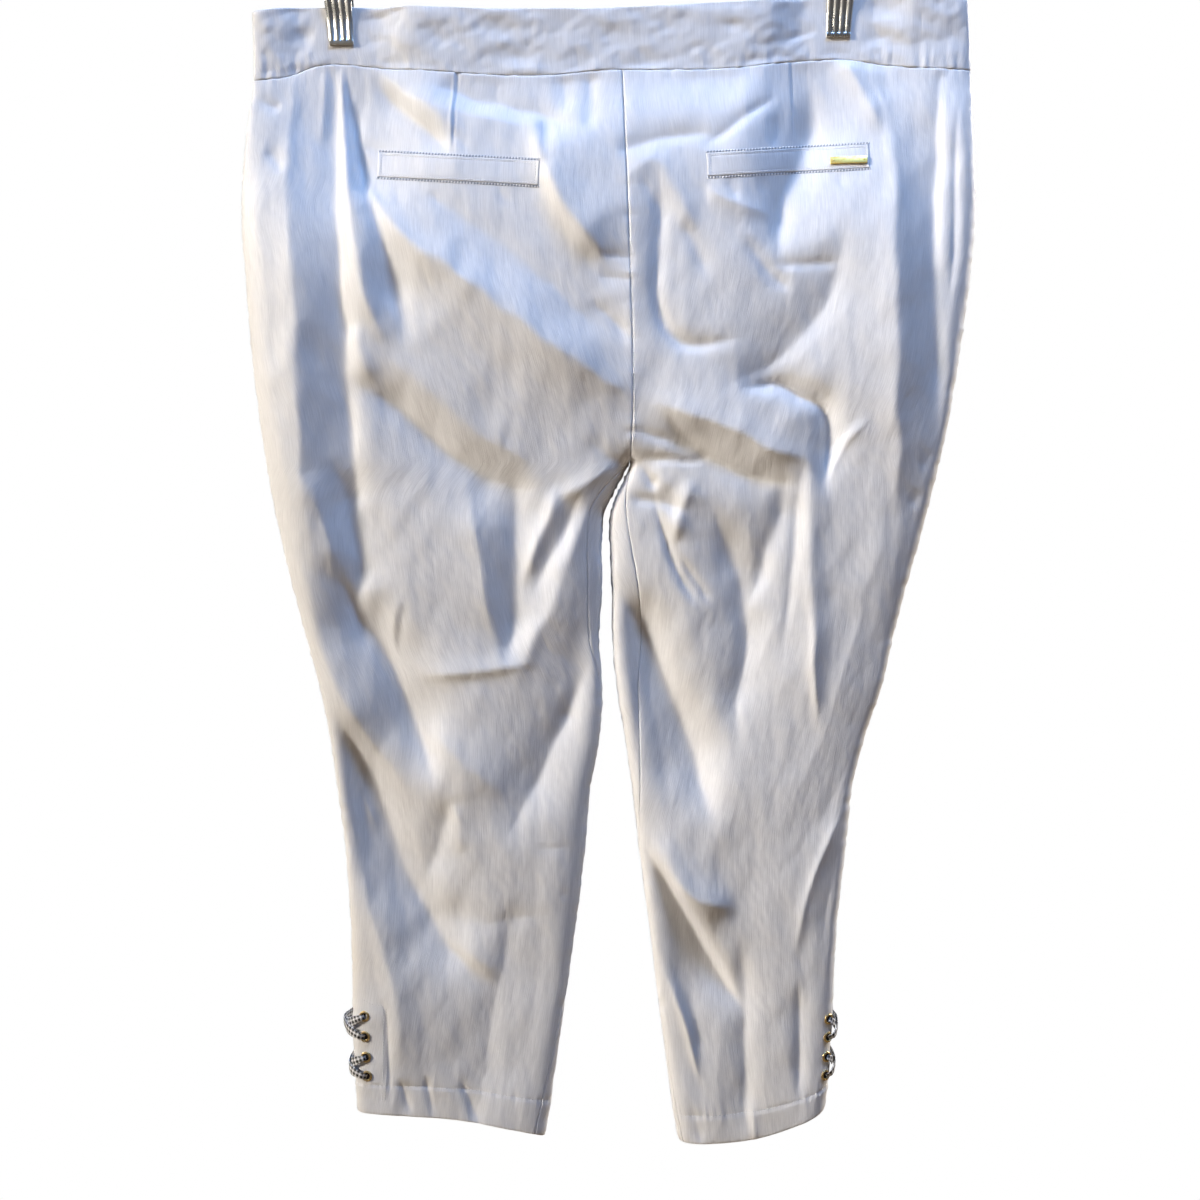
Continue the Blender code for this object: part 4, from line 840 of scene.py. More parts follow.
@dataclass(frozen=True)
class Mesher:
    """Turns grids of points, and bmeshes in millimetres, into finished objects."""

    material: Material
    slot: Slot

    def finish(self, name: str, bm: BMesh, sharp: float | None = None) -> Object:
        """An object from a bmesh in millimetres, riding on the garment's body.

        Args:
            name: The piece's name.
            bm: The bmesh, which is freed.
            sharp: The angle in degrees past which an edge stays sharp, if any does.

        Returns:
            The linked object.
        """
        bmesh.ops.scale(bm, vec=(MM, MM, MM), verts=bm.verts)
        mesh = bpy.data.meshes.new(name)
        bm.to_mesh(mesh)
        bm.free()
        return self.dressed(name, mesh, sharp)

    def dressed(self, name: str, data: bpy.types.ID, sharp: float | None = None) -> Object:
        """An object that shows a mesh or curve in this finish.

        Args:
            name: The piece's name.
            data: The mesh or curve.
            sharp: The angle in degrees past which an edge stays sharp, if any does.

        Returns:
            The linked object.
        """
        if isinstance(data, bpy.types.Mesh):
            data.shade_smooth()
            if sharp is not None:
                data.set_sharp_from_angle(angle=math.radians(sharp))
        data.materials.append(self.material)
        made = bpy.data.objects.new(name, data)
        bpy.context.scene.collection.objects.link(made)
        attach(made, BODY)
        return made

    @staticmethod
    def laid(points: np.ndarray) -> tuple[BMesh, list[int]]:
        """Lays a bmesh grid on rows of points.

        Args:
            points: Rows by columns by 3, in millimetres.

        Returns:
            The bmesh, and the number of the point under each vertex.
        """
        rows, columns = points.shape[:2]
        bm = bmesh.new()
        bmesh.ops.create_grid(bm, x_segments=columns - 1, y_segments=rows - 1, size=1)
        order = []
        for vertex in bm.verts:
            i = round((vertex.co.x + 1) / 2 * (columns - 1))
            j = round((vertex.co.y + 1) / 2 * (rows - 1))
            order.append(j * columns + i)
            vertex.co = points[j, i]
        return bm, order

    def ring_body(self, rings: np.ndarray) -> BMesh:
        """A closed body through rings of points, each of which ends on its first point.

        Args:
            rings: Rings by points by 3, in millimetres.

        Returns:
            The bmesh, with faces that point out.
        """
        bm, _ = self.laid(rings)
        bmesh.ops.remove_doubles(bm, verts=bm.verts, dist=0.001)
        bmesh.ops.holes_fill(bm, edges=[edge for edge in bm.edges if edge.is_boundary])
        bmesh.ops.recalc_face_normals(bm, faces=bm.faces)
        return bm

    def wire(self, name: str, points: Sequence[Sequence[float]], radius: float) -> Object:
        """A round wire through points, with closed ends.

        Args:
            name: The piece's name.
            points: The points.
            radius: The wire's radius.

        Returns:
            The finished object.
        """
        curve = bpy.data.curves.new(name, "CURVE")
        curve.dimensions = "3D"
        curve.bevel_depth = radius * MM
        curve.bevel_resolution = 5
        curve.use_fill_caps = True
        spline = curve.splines.new("POLY")
        spline.points.add(len(points) - 1)
        for target, point in zip(spline.points, points):
            target.co = (*(Vector(point) * MM), 1)
        return self.dressed(name, curve)

    def sheet(
        self, name: str, points: np.ndarray, outward: np.ndarray, wall: float, lay: np.ndarray
    ) -> Object:
        """A thin shell on a grid of points, with its wall inside and a lay for its weave.

        Args:
            name: The piece's name.
            points: The outer surface, rows by columns by 3.
            outward: A direction that the middle of the outer surface faces.
            wall: The cloth's thickness.
            lay: The weave's place at each point in metres, rows by columns by 2.

        Returns:
            The finished object.
        """
        bm, order = self.laid(points)
        bm.faces.ensure_lookup_table()
        bm.normal_update()
        facing = sum((face.normal * face.calc_area() for face in bm.faces), Vector())
        if facing.dot(Vector(outward)) < 0:
            bmesh.ops.reverse_faces(bm, faces=bm.faces)
        made = self.finish(name, bm)
        corners = np.empty(len(made.data.loops), dtype=np.int32)
        made.data.loops.foreach_get("vertex_index", corners)
        weave = made.data.uv_layers.new(name="lay")
        weave.data.foreach_set("uv", lay.reshape(-1, 2)[np.array(order)[corners]].astype(np.float32).ravel())
        thick = made.modifiers.new("wall", "SOLIDIFY")
        thick.thickness = wall * MM
        thick.offset = -1
        thick.use_even_offset = False
        return made


def spun(
    bm: BMesh, profile: Sequence[tuple[float, float]], axis: tuple[int, int, int], steps: int, closed: bool
) -> None:
    """Turns a profile in the plane y = 0 fully round an axis through the origin.

    Args:
        bm: The bmesh that the body is added to.
        profile: The profile's points, as x and z.
        axis: The axis.
        steps: How many steps the turn has.
        closed: Whether the last point joins the first.
    """
    chain = [bm.verts.new((x, 0, z)) for x, z in profile]
    pairs = zip(chain[-1:] + chain, chain) if closed else zip(chain, chain[1:])
    edges = [bm.edges.new(pair) for pair in pairs]
    bmesh.ops.spin(
        bm, geom=chain + edges, cent=(0, 0, 0), axis=axis, angle=math.tau, steps=steps, use_merge=True
    )


def quarter(x: float, z: float, radius: float, start: float, count: int) -> list[tuple[float, float]]:
    """A quarter circle about (x, z) from a start angle in radians, as points of a profile."""
    angles = np.linspace(start, start + math.pi / 2, count)
    return [(x + radius * math.cos(angle), z + radius * math.sin(angle)) for angle in angles]


def surface_of(points: np.ndarray) -> BVHTree:
    """A search tree over a grid of points, in millimetres.

    Args:
        points: Rows by columns by 3.

    Returns:
        The tree.
    """
    rows, columns = points.shape[:2]
    corner = (np.arange(rows - 1)[:, None] * columns + np.arange(columns - 1)).ravel()
    faces = np.stack([corner, corner + 1, corner + columns + 1, corner + columns], axis=1)
    return BVHTree.FromPolygons(points.reshape(-1, 3).tolist(), faces.tolist())


def sighted(tree: BVHTree, face: Face, x: float, drop: float) -> tuple[Vector, Vector]:
    """Where the line of sight through a place of the elevation meets a surface.

    Args:
        tree: The surface.
        face: The face whose elevation it is.
        x: The place's x.
        drop: The place's drop.

    Returns:
        The point, and the surface's outward normal there.
    """
    eye = Vector((SIGHT_X, face * SIGHT_DISTANCE, -SIGHT_DROP))
    hit, normal, _, _ = tree.ray_cast(eye, Vector((x, 0, -drop)) - eye)
    if hit is None:
        raise ValueError(f"no cloth at x {x:.0f}, drop {drop:.0f} of the {face.word}")
    return hit, normal if normal.y * face > 0 else -normal


def on_cloth(trees: Sequence[BVHTree], place: Vector, outward: Vector, reach: float = 14) -> float:
    """How far out from a place the outermost of some surfaces lies, or 0 where there is none.

    Args:
        trees: The surfaces.
        place: The place.
        outward: The way out, a unit vector.
        reach: How far to look on either side.

    Returns:
        The distance.
    """
    heights = []
    for tree in trees:
        hit = tree.ray_cast(place + outward * reach, -outward, reach * 2)[0]
        if hit is not None:
            heights.append((hit - place).dot(outward))
    return max(heights, default=0.0)


def laid_out(points: np.ndarray) -> np.ndarray:
    """The weave's place at each point of a grid: the way across from its middle column, and down.

    Args:
        points: Rows by columns by 3, in millimetres.

    Returns:
        Rows by columns by 2, in metres.
    """
    steps = np.linalg.norm(np.diff(points, axis=1), axis=2)
    ways = np.concatenate([np.zeros((len(points), 1)), np.cumsum(steps, axis=1)], axis=1)
    ways -= ways[:, [ways.shape[1] // 2]]
    falls = np.linalg.norm(np.diff(points, axis=0), axis=2)
    fallen = np.concatenate([[0], np.cumsum(falls.mean(axis=1))])
    return np.stack([ways, np.repeat(fallen[:, None], points.shape[1], axis=1)], axis=2) * MM


def unit(vectors: np.ndarray) -> np.ndarray:
    """Vectors at length 1."""
    return vectors / np.maximum(np.linalg.norm(vectors, axis=-1, keepdims=True), 1e-9)


@dataclass(frozen=True)
class Stitch:
    """One visible stitch: a small bean whose middle is lifted off the cloth."""

    length: float
    width: float
    height: float
    lift: float

    def sew(self, bm: BMesh, point: Vector, along: Vector, outward: Vector) -> None:
        """Adds the bean to a bmesh.

        Args:
            bm: The bmesh of the whole row.
            point: Its place on the cloth.
            along: The thread's direction.
            outward: The cloth's normal.
        """
        point = point + outward * self.lift
        outward = outward.normalized()
        along = (along - outward * along.dot(outward)).normalized()
        turn = Matrix((along, outward.cross(along), outward)).transposed().to_4x4()
        size = Matrix.Diagonal((self.length / 2, self.width / 2, self.height / 2, 1))
        place = Matrix.Translation(point) @ turn @ size
        bmesh.ops.create_uvsphere(bm, u_segments=6, v_segments=4, radius=1, matrix=place)

    def row(
        self, bm: BMesh, tree: BVHTree, face: Face, points: Sequence[tuple[float, float]], pitch: float
    ) -> None:
        """Adds an even row of beans along a line of the elevation.

        Args:
            bm: The bmesh.
            tree: The cloth's surface.
            face: The face whose elevation it is.
            points: The line's points.
            pitch: The distance between beans.
        """
        for x, drop, along in even_places(points, pitch):
            point, normal = sighted(tree, face, x, drop)
            self.sew(bm, point, along, normal)


def even_places(points: Sequence[tuple[float, float]], pitch: float) -> list[tuple[float, float, Vector]]:
    """Places at an even pitch along a line of the elevation.

    Args:
        points: The line's points.
        pitch: The distance between places.

    Returns:
        The x, drop and unit direction of each.
    """
    line = np.array(points, float)
    steps = np.diff(line, axis=0)
    lengths = np.hypot(steps[:, 0], steps[:, 1])
    ways = np.concatenate([[0], np.cumsum(lengths)])
    count = max(int(ways[-1] // pitch), 1)
    places = []
    for way in (np.arange(count) + 0.5) * ways[-1] / count:
        i = min(int(np.searchsorted(ways, way, "right")) - 1, len(steps) - 1)
        x, drop = line[i] + steps[i] * (way - ways[i]) / lengths[i]
        places.append((float(x), float(drop), Vector((steps[i][0], 0, -steps[i][1])).normalized()))
    return places


class Graph:
    """A short way to write a node tree."""

    def __init__(self, tree: bpy.types.NodeTree) -> None:
        """Empties a tree and holds it."""
        tree.nodes.clear()
        self.tree = tree

    def node(self, kind: str, inputs: dict | None = None, **settings: object) -> bpy.types.Node:
        """Adds a node.

        Args:
            kind: The node's type without its ShaderNode prefix.
            inputs: Values, or sockets to link, by input name or number.
            **settings: The node's own properties.

        Returns:
            The node.
        """
        made = self.tree.nodes.new(f"ShaderNode{kind}")
        for name, value in settings.items():
            setattr(made, name, value)
        for key, value in (inputs or {}).items():
            if isinstance(value, bpy.types.NodeSocket):
                self.tree.links.new(value, made.inputs[key])
            else:
                made.inputs[key].default_value = value
        return made

    def sums(self, operation: str, *values: object) -> bpy.types.NodeSocket:
        """A Math node's result."""
        return self.node("Math", dict(enumerate(values)), operation=operation).outputs[0]

    def mapped(self, value: object, low: float, high: float, to_low: float, to_high: float) -> object:
        """A value carried from one range to another, held at the range's ends, with a soft step."""
        inputs = {"Value": value, 1: low, 2: high, 3: to_low, 4: to_high}
        return self.node("MapRange", inputs, interpolation_type="SMOOTHSTEP").outputs[0]

    def blend(self, share: object, first: object, second: object, mode: str = "MIX") -> object:
        """Two colours mixed by a share."""
        inputs = {0: share, 6: first, 7: second}
        return self.node("Mix", inputs, data_type="RGBA", blend_type=mode).outputs[2]

    def toned(self, colour: object, tone: object) -> object:
        """A colour multiplied by a tone."""
        grey = self.node("CombineXYZ", {0: tone, 1: tone, 2: tone}).outputs[0]
        return self.blend(1.0, colour, grey, "MULTIPLY")

    def lay(self) -> bpy.types.NodeSocket:
        """The cloth's own lay."""
        return self.node("UVMap", uv_map="lay").outputs[0]

    def place(self) -> bpy.types.NodeSocket:
        """The place in Object coordinates."""
        return self.node("TexCoord").outputs["Object"]

    def stretched(self, place: object, scale: Sequence[float]) -> bpy.types.NodeSocket:
        """A place multiplied by a scale for each axis."""
        return self.node("VectorMath", {0: place, 1: (*scale,)}, operation="MULTIPLY").outputs[0]

    def noise(self, place: object, scale: float, detail: float, roughness: float = 0.5) -> object:
        """A noise texture's value."""
        inputs = {"Vector": place, "Scale": scale, "Detail": detail, "Roughness": roughness}
        return self.node("TexNoise", inputs).outputs[0]

    def bump(self, depth: tuple[float, float], height: object, under: object = None) -> object:
        """A bump's normal.

        Args:
            depth: The bump's strength, and its distance in metres.
            height: The value that it reads.
            under: The normal of another bump that it lies on, if any.

        Returns:
            The normal.
        """
        inputs = {"Strength": depth[0], "Distance": depth[1], "Height": height}
        if under is not None:
            inputs["Normal"] = under
        return self.node("Bump", inputs).outputs[0]

    def shade(self, inputs: dict) -> None:
        """Adds the surface's shader and its output."""
        shader = self.node("BsdfPrincipled", inputs)
        self.node("OutputMaterial", {"Surface": shader.outputs[0]})


def new_material(name: str) -> tuple[Material, Graph]:
    """An empty material and its graph.

    Args:
        name: The material's name.

    Returns:
        The material, and the graph of its nodes.
    """
    made = bpy.data.materials.new(name)
    made.use_nodes = True
    return made, Graph(made.node_tree)


@dataclass(frozen=True)
class Tint:
    """A soft patch of painted warm light on the cloth: its middle, and how far and how strongly it spreads.
    """

    x: float
    depth: float
    drop: float
    reach: float
    strength: float


@dataclass(frozen=True)
class Sateen:
    """White stretch cotton sateen with a fine upright slub, soft crumples, a soft sheen and patches of
    painted warm light.

    Slubs, yarns and crumples are noise scales across and along the cloth. Each has a bump, as its
    strength and its distance in metres.
    """

    colour: tuple[float, float, float] = (0.83, 0.83, 0.845)
    # The warm colour that the cloth blends to under the patches of painted warm light.
    cream: tuple[float, float, float] = (0.86, 0.79, 0.68)
    tints: tuple[Tint, ...] = (
        Tint(6, -14, 506, 46, 0.7),
        Tint(70, -26, 496, 44, 0.35),
        Tint(-198, -6, 880, 60, 0.4),
        Tint(-130, -22, 1010, 60, 0.25),
        Tint(110, -22, 1020, 60, 0.25),
    )
    slubs: tuple[float, float] = (1500, 46)
    yarns: tuple[float, float] = (3300, 1400)
    crumples: tuple[float, float] = (52, 26)
    slub_bump: tuple[float, float] = (0.7, 0.00026)
    yarn_bump: tuple[float, float] = (0.5, 0.00006)
    crumple_bump: tuple[float, float] = (1.0, 0.0013)
    slub_tones: tuple[float, float] = (0.9, 1.04)
    mottle: float = 16
    mottle_tones: tuple[float, float] = (-0.03, 0.03)

    def made(self, name: str) -> Material:
        """Makes the material, which reads the cloth's lay.

        Args:
            name: Its name.

        Returns:
            The material.
        """
        material, graph = new_material(name)
        lay, place = graph.lay(), graph.place()
        slub, yarn, crumple = (
            graph.noise(graph.stretched(lay, (*scale, 1)), 1, detail, 0.6)
            for scale, detail in ((self.slubs, 3), (self.yarns, 2), (self.crumples, 2))
        )
        slubbed = graph.mapped(slub, *NOISE_SPAN, *self.slub_tones)
        mottled = graph.mapped(graph.noise(place, self.mottle, 3), *NOISE_SPAN, *self.mottle_tones)
        colour = (*self.colour, 1)
        # Painted warm light: round each patch the base colour blends to the warm colour.
        for warm_light_patch in self.tints:
            middle = Vector((warm_light_patch.x, warm_light_patch.depth, -warm_light_patch.drop)) * MM
            away = graph.node("VectorMath", {0: place, 1: middle}, operation="DISTANCE").outputs["Value"]
            share = graph.mapped(away, 0, warm_light_patch.reach * MM, warm_light_patch.strength, 0)
            colour = graph.blend(share, colour, (*self.cream, 1))
        woven = graph.bump(self.slub_bump, slub, graph.bump(self.yarn_bump, yarn))
        graph.shade({
            "Base Color": graph.toned(colour, graph.sums("ADD", slubbed, mottled)),
            "Roughness": 0.5,
            "Specular IOR Level": 0.4,
            "Sheen Weight": 0.22,
            "Sheen Roughness": 0.35,
            "Normal": graph.bump(self.crumple_bump, crumple, woven),
        })
        return material


@dataclass(frozen=True)
class Gingham:
    """A narrow woven ribbon in a small black and white check."""

    check: float = 1.7
    check_edge: tuple[float, float] = (0.05, 0.4)
    white: float = 0.85
    black: float = 0.01
    yarns: float = 6000
    yarn_bump: tuple[float, float] = (0.5, 0.00006)

    def made(self, name: str) -> Material:
        """Makes the material, which reads the ribbon's lay.

        Args:
            name: Its name.

        Returns:
            The material.
        """
        material, graph = new_material(name)
        lay = graph.lay()
        ways = graph.node("SeparateXYZ", {0: lay}).outputs
        stripes = []
        for way in ways[:2]:
            phase = graph.sums("MULTIPLY", way, math.tau / (2 * self.check * MM))
            stripes.append(graph.mapped(graph.sums("SINE", phase), *self.check_edge, 0, 0.5))
        dark, light = ((grey, grey, grey, 1) for grey in (self.black, self.white))
        graph.shade({
            "Base Color": graph.blend(graph.sums("ADD", *stripes), dark, light),
            "Roughness": 0.6,
            "Sheen Weight": 0.15,
            "Normal": graph.bump(self.yarn_bump, graph.noise(lay, self.yarns, 2)),
        })
        return material


@dataclass(frozen=True)
class Metal:
    """A plated metal with a little wear and fine brushing.

    Grain is the brushing's noise scale on each axis, and patch the wear's. A span is the range of
    the wear's noise over which a change runs.
    """

    colour: tuple[float, float, float]
    worn: tuple[float, float, float]
    roughness: float
    grain: tuple[float, float, float]
    patch: float
    wear: float = 0.8
    wear_span: tuple[float, float] = (0.42, 0.68)
    rougher: float = 0.14
    rough_span: tuple[float, float] = (0.35, 0.7)
    brushing: float = 0.04
    brush_bump: tuple[float, float] = (0.3, 0.00003)

    def made(self, name: str) -> Material:
        """Makes the material, which reads Object coordinates.

        Args:
            name: Its name.

        Returns:
            The material.
        """
        material, graph = new_material(name)
        place = graph.place()
        brushed = graph.noise(graph.stretched(place, self.grain), 1, 3)
        cloud = graph.noise(place, self.patch, 4)
        worn = graph.mapped(cloud, *self.wear_span, 0, self.wear)
        rough = graph.mapped(cloud, *self.rough_span, self.roughness, self.roughness + self.rougher)
        brushing = graph.mapped(brushed, *NOISE_SPAN, -self.brushing, self.brushing)
        graph.shade({
            "Base Color": graph.blend(worn, (*self.colour, 1), (*self.worn, 1)),
            "Roughness": graph.sums("ADD", rough, brushing),
            "Metallic": 1.0,
            "Normal": graph.bump(self.brush_bump, brushed),
        })
        return material


@dataclass(frozen=True)
class Thread:
    """Sewing thread, or a colour of painted shade: grey between stitches, black in an eyelet's hole."""

    colour: tuple[float, float, float]
    roughness: float
    twist: float = 4000
    twist_tones: tuple[float, float] = (0.9, 1)
    twist_bump: tuple[float, float] = (0.4, 0.00005)

    def made(self, name: str) -> Material:
        """Makes the material, with a fine twist.

        Args:
            name: Its name.

        Returns:
            The material.
        """
        material, graph = new_material(name)
        twist = graph.noise(graph.place(), self.twist, 1)
        tone = graph.mapped(twist, *NOISE_SPAN, *self.twist_tones)
        graph.shade({
            "Base Color": graph.toned((*self.colour, 1), tone),
            "Roughness": self.roughness,
            "Sheen Weight": 0.2,
            "Normal": graph.bump(self.twist_bump, twist),
        })
        return material


@dataclass(frozen=True)
class Edge:
    """How a cut edge turns in: distances in along the cloth, and how deep the cloth has turned."""

    inset: float
    tuck: float


SEAM_EDGE = (Edge(0, 3.0), Edge(0, 1.3), Edge(0, 0.4), Edge(0.9, 0.08))
TURN_STEPS = 6


def edged(even: Sequence[float], scale: float) -> tuple[np.ndarray, np.ndarray]:
    """Places from 0 to 1 with a seam's edge at both ends.

    Args:
        even: The places between the two edges.
        scale: A millimetre's share of the whole.

    Returns:
        The places, and how far each is tucked in.
    """
    start = [(edge.inset * scale, edge.tuck) for edge in SEAM_EDGE]
    finish = [(1 - place, tuck) for place, tuck in reversed(start)]
    stations = np.array([*start, *((place, 0) for place in even), *finish])
    return stations[:, 0], stations[:, 1]


def with_near(even: np.ndarray, near: np.ndarray, least: float) -> np.ndarray:
    """Even places and some closer ones, without the even ones that lie within a distance of those."""
    clear = abs(even[:, None] - near).min(axis=1) > least
    return np.sort(np.concatenate([even[clear], near]))


@dataclass(frozen=True)
class Dart:
    """A back dart: its place across the panel, where it ends, and its two sides' relief.

    The groove, the ridge and the columns of points lie at multiples of its width.
    """

    across: float
    end_drop: float
    fade: float = 14
    overrun: float = 3
    groove: float = -0.5
    groove_at: float = 0.3
    ridge: float = 0.55
    ridge_at: float = -1.9
    width: float = 0.0034
    columns: tuple[float, ...] = (-3, -2, -1.2, -0.5, 0.1, 0.7, 1.4, 2.2)

    def relief(self, off: np.ndarray, drop: np.ndarray) -> np.ndarray:
        """How far it raises the cloth, for widths off its line and a drop."""
        shape = self.groove * hump(off - self.groove_at, 1) + self.ridge * hump(off - self.ridge_at, 1)
        return shape * smoothstep(self.end_drop + self.overrun, self.end_drop - self.fade, drop)


@dataclass(frozen=True)
class Panel:
    """One of the four panels: side seam to centre seam and inseam, waist seam to turned-up hem.

    Along the hem's stitched line run a dip, a swell below it and ripples, each with its reach.
    """

    leg: Leg
    face: Face
    pitch_across: int
    pitch_down: float
    flat: tuple[float, float]
    area: float
    stitch_height: float
    dart: Dart | None = None
    wall: float = 0.5
    hem_wall: float = 2.0
    dip: float = 0.35
    dip_reach: float = 1.4
    swell: float = 0.15
    swell_drop: float = 4
    swell_reach: float = 3
    ripple: float = 0.6
    ripple_length: float = 190
    ripple_reach: float = 5
    hem_rows: tuple[float, ...] = (-3, -1.8, -0.9, 0, 0.9, 1.8, 3)
    allowance_share: float = 0.6
    edge_scale: float = 0.0042
    wrap_slope: float = 0.4
    parting: float = 0.0008

    @property
    def name(self) -> str:
        """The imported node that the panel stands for."""
        return f"{self.face.word}_{self.leg.word}"

    @property
    def sewn_drop(self) -> float:
        """The nominal drop of the hem's stitched line."""
        return HEM_DROP - self.stitch_height

    def surface(self, around: np.ndarray, drop: np.ndarray) -> tuple[np.ndarray, np.ndarray, np.ndarray]:
        """The folded outer surface.

        Args:
            around: The way across, where past 1 is on the other face.
            drop: The nominal drop, of the same shape.

        Returns:
            The points, their outward normals before the folds, and which face each is on.
        """
        around, drop = np.broadcast_arrays(np.asarray(around, float), np.asarray(drop, float))
        sides = np.where(around > 1, -self.face, self.face)
        across = np.where(around > 1, 2 - around, around)
        normals = DRAPE.outward(self.leg, across, drop, sides)
        points = DRAPE.points(self.leg, sides, across, drop)
        least = np.minimum(points[..., 1] * sides, DRAPE.least_depth)
        raised = np.zeros(around.shape)
        for face in Face:
            own = sides == face
            if own.any():
                raised[own] = DRAPE.relief(self.leg, face, across[own], drop[own])
        points += normals * (raised + self.sewn(around, drop))[..., None]
        points[..., 1] = sides * np.maximum(points[..., 1] * sides, least)
        return points, normals, sides

    def sewn(self, around: np.ndarray, drop: np.ndarray) -> np.ndarray:
        """The relief of the dart and of the hem's stitched line.

        Args:
            around: The way across.
            drop: The nominal drop.

        Returns:
            The rise along the outward normal.
        """
        below = drop - self.sewn_drop
        waves = DRAPE.pucker.at(around * self.ripple_length, np.zeros_like(around))
        raised = self.swell * hump(below - self.swell_drop, self.swell_reach)
        raised = raised - self.dip * hump(below, self.dip_reach)
        raised = raised + self.ripple * waves * hump(below, self.ripple_reach)
        if self.dart is not None:
            off = (around - self.dart.across) * self.leg * self.face / self.dart.width
            raised = raised + self.dart.relief(off, drop)
        return raised

    def columns(self) -> tuple[np.ndarray, np.ndarray]:
        """Sets out the columns of points.

        Returns:
            Their places across, and how far each is tucked in.
        """
        even = np.arange(1, self.pitch_across) / self.pitch_across
        if self.dart is not None:
            near = self.dart.across + self.dart.width * np.array(self.dart.columns)
            even = with_near(even, near, 0.3 / self.pitch_across)
        return edged(even, self.edge_scale)

    def rows(self) -> tuple[np.ndarray, np.ndarray]:
        """Sets out the rows of points: the waist seam, the panel, and the hem's turn-up.

        Returns:
            Their nominal drops, and how far each is tucked in.
        """
        count = round((HEM_DROP - WAIST_DROP) / self.pitch_down)
        even = WAIST_DROP + (HEM_DROP - WAIST_DROP) * np.arange(1, count) / count
        even = with_near(even, self.sewn_drop + np.array(self.hem_rows), 0.9)
        even = even[even < HEM_DROP - self.hem_wall]
        stations = [(WAIST_DROP + edge.inset, edge.tuck) for edge in SEAM_EDGE]
        stations += [(drop, 0) for drop in even]
        radius = self.hem_wall / 2
        for angle in np.linspace(0, math.pi, TURN_STEPS + 1):
            stations.append((HEM_DROP - radius + radius * math.sin(angle), radius * (1 - math.cos(angle))))
        for share in np.linspace(0, 1, 9)[1:]:
            inside = self.hem_wall - 0.7 * float(smoothstep(0.8, 1, share))
            stations.append((HEM_DROP - radius - share * (self.stitch_height + 1 - radius), inside))
        table = np.array(stations)
        return table[:, 0], table[:, 1]

    def grid(self) -> np.ndarray:
        """The outer surface as a grid of points, with its edges tucked in.

        Returns:
            Rows by columns by 3, in millimetres.
        """
        place, column_tuck = self.columns()
        drops, row_tuck = self.rows()
        width = abs(DRAPE.side_edge(self.leg, drops) - DRAPE.inner_edge(self.leg, drops))
        wrapped = read(INSEAMS, drops, f"wrap_{self.leg.word}")
        reach = np.where(drops > CROTCH_DROP, wrapped / (width * self.wrap_slope), 0)
        parted = self.parting * np.clip(wrapped / 2, 0, 1)
        span = 1 + (reach - parted if self.face == Face.FRONT else -reach - parted)
        around = place[None, :] * span[:, None]
        drop = np.repeat(drops[:, None], len(place), axis=1)
        points, normals, sides = self.surface(around, drop)
        level = normals.copy()
        level[..., 2] = 0
        level = unit(level)
        room = abs(points[..., 1]) * self.allowance_share
        tuck = np.where(around * sides * self.face >= 0.5, np.minimum(column_tuck, room), column_tuck)
        tuck = np.where(drop > CROTCH_DROP + 12, column_tuck, tuck)
        tuck = np.where(place < 0.5, column_tuck, tuck)
        return points - normals * tuck[..., None] - level * row_tuck[:, None, None]

    def build(self, mesher: Mesher) -> BVHTree:
        """Makes the panel's cloth.

        Args:
            mesher: The cotton's mesher.

        Returns:
            A search tree over its outer surface.
        """
        points = self.grid()
        made = mesher.sheet(f"{self.name}_cloth", points, (0, self.face, 0), self.wall, laid_out(points))
        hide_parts(self.name)
        band = f"waistband_{self.face.word}_cloth"
        log.info("%s: %d by %d points", made.name, *points.shape[:2])
        return surface_of(points)

    def hem_stitches(self, mesher: Mesher, stitch: Stitch, pitch: float) -> None:
        """Makes the line of stitches that holds the turned-up hem.

        Args:
            mesher: The thread's mesher.
            stitch: The stitch.
            pitch: The distance between stitches.
        """
        around = np.linspace(0.01, 0.985, 400)
        points, normals, _ = self.surface(around, self.sewn_drop)
        ways = walked(points)
        bm = bmesh.new()
        for way in np.arange(pitch, ways[-1] - pitch, pitch):
            i = int(np.searchsorted(ways, way))
            along = Vector(points[min(i + 2, len(points) - 1)] - points[max(i - 2, 0)])
            stitch.sew(bm, Vector(points[i]), along, Vector(normals[i]))
        made = mesher.finish(f"hem_stitching_{self.name}", bm)
        log.info("%s: %.0f mm", made.name, ways[-1])


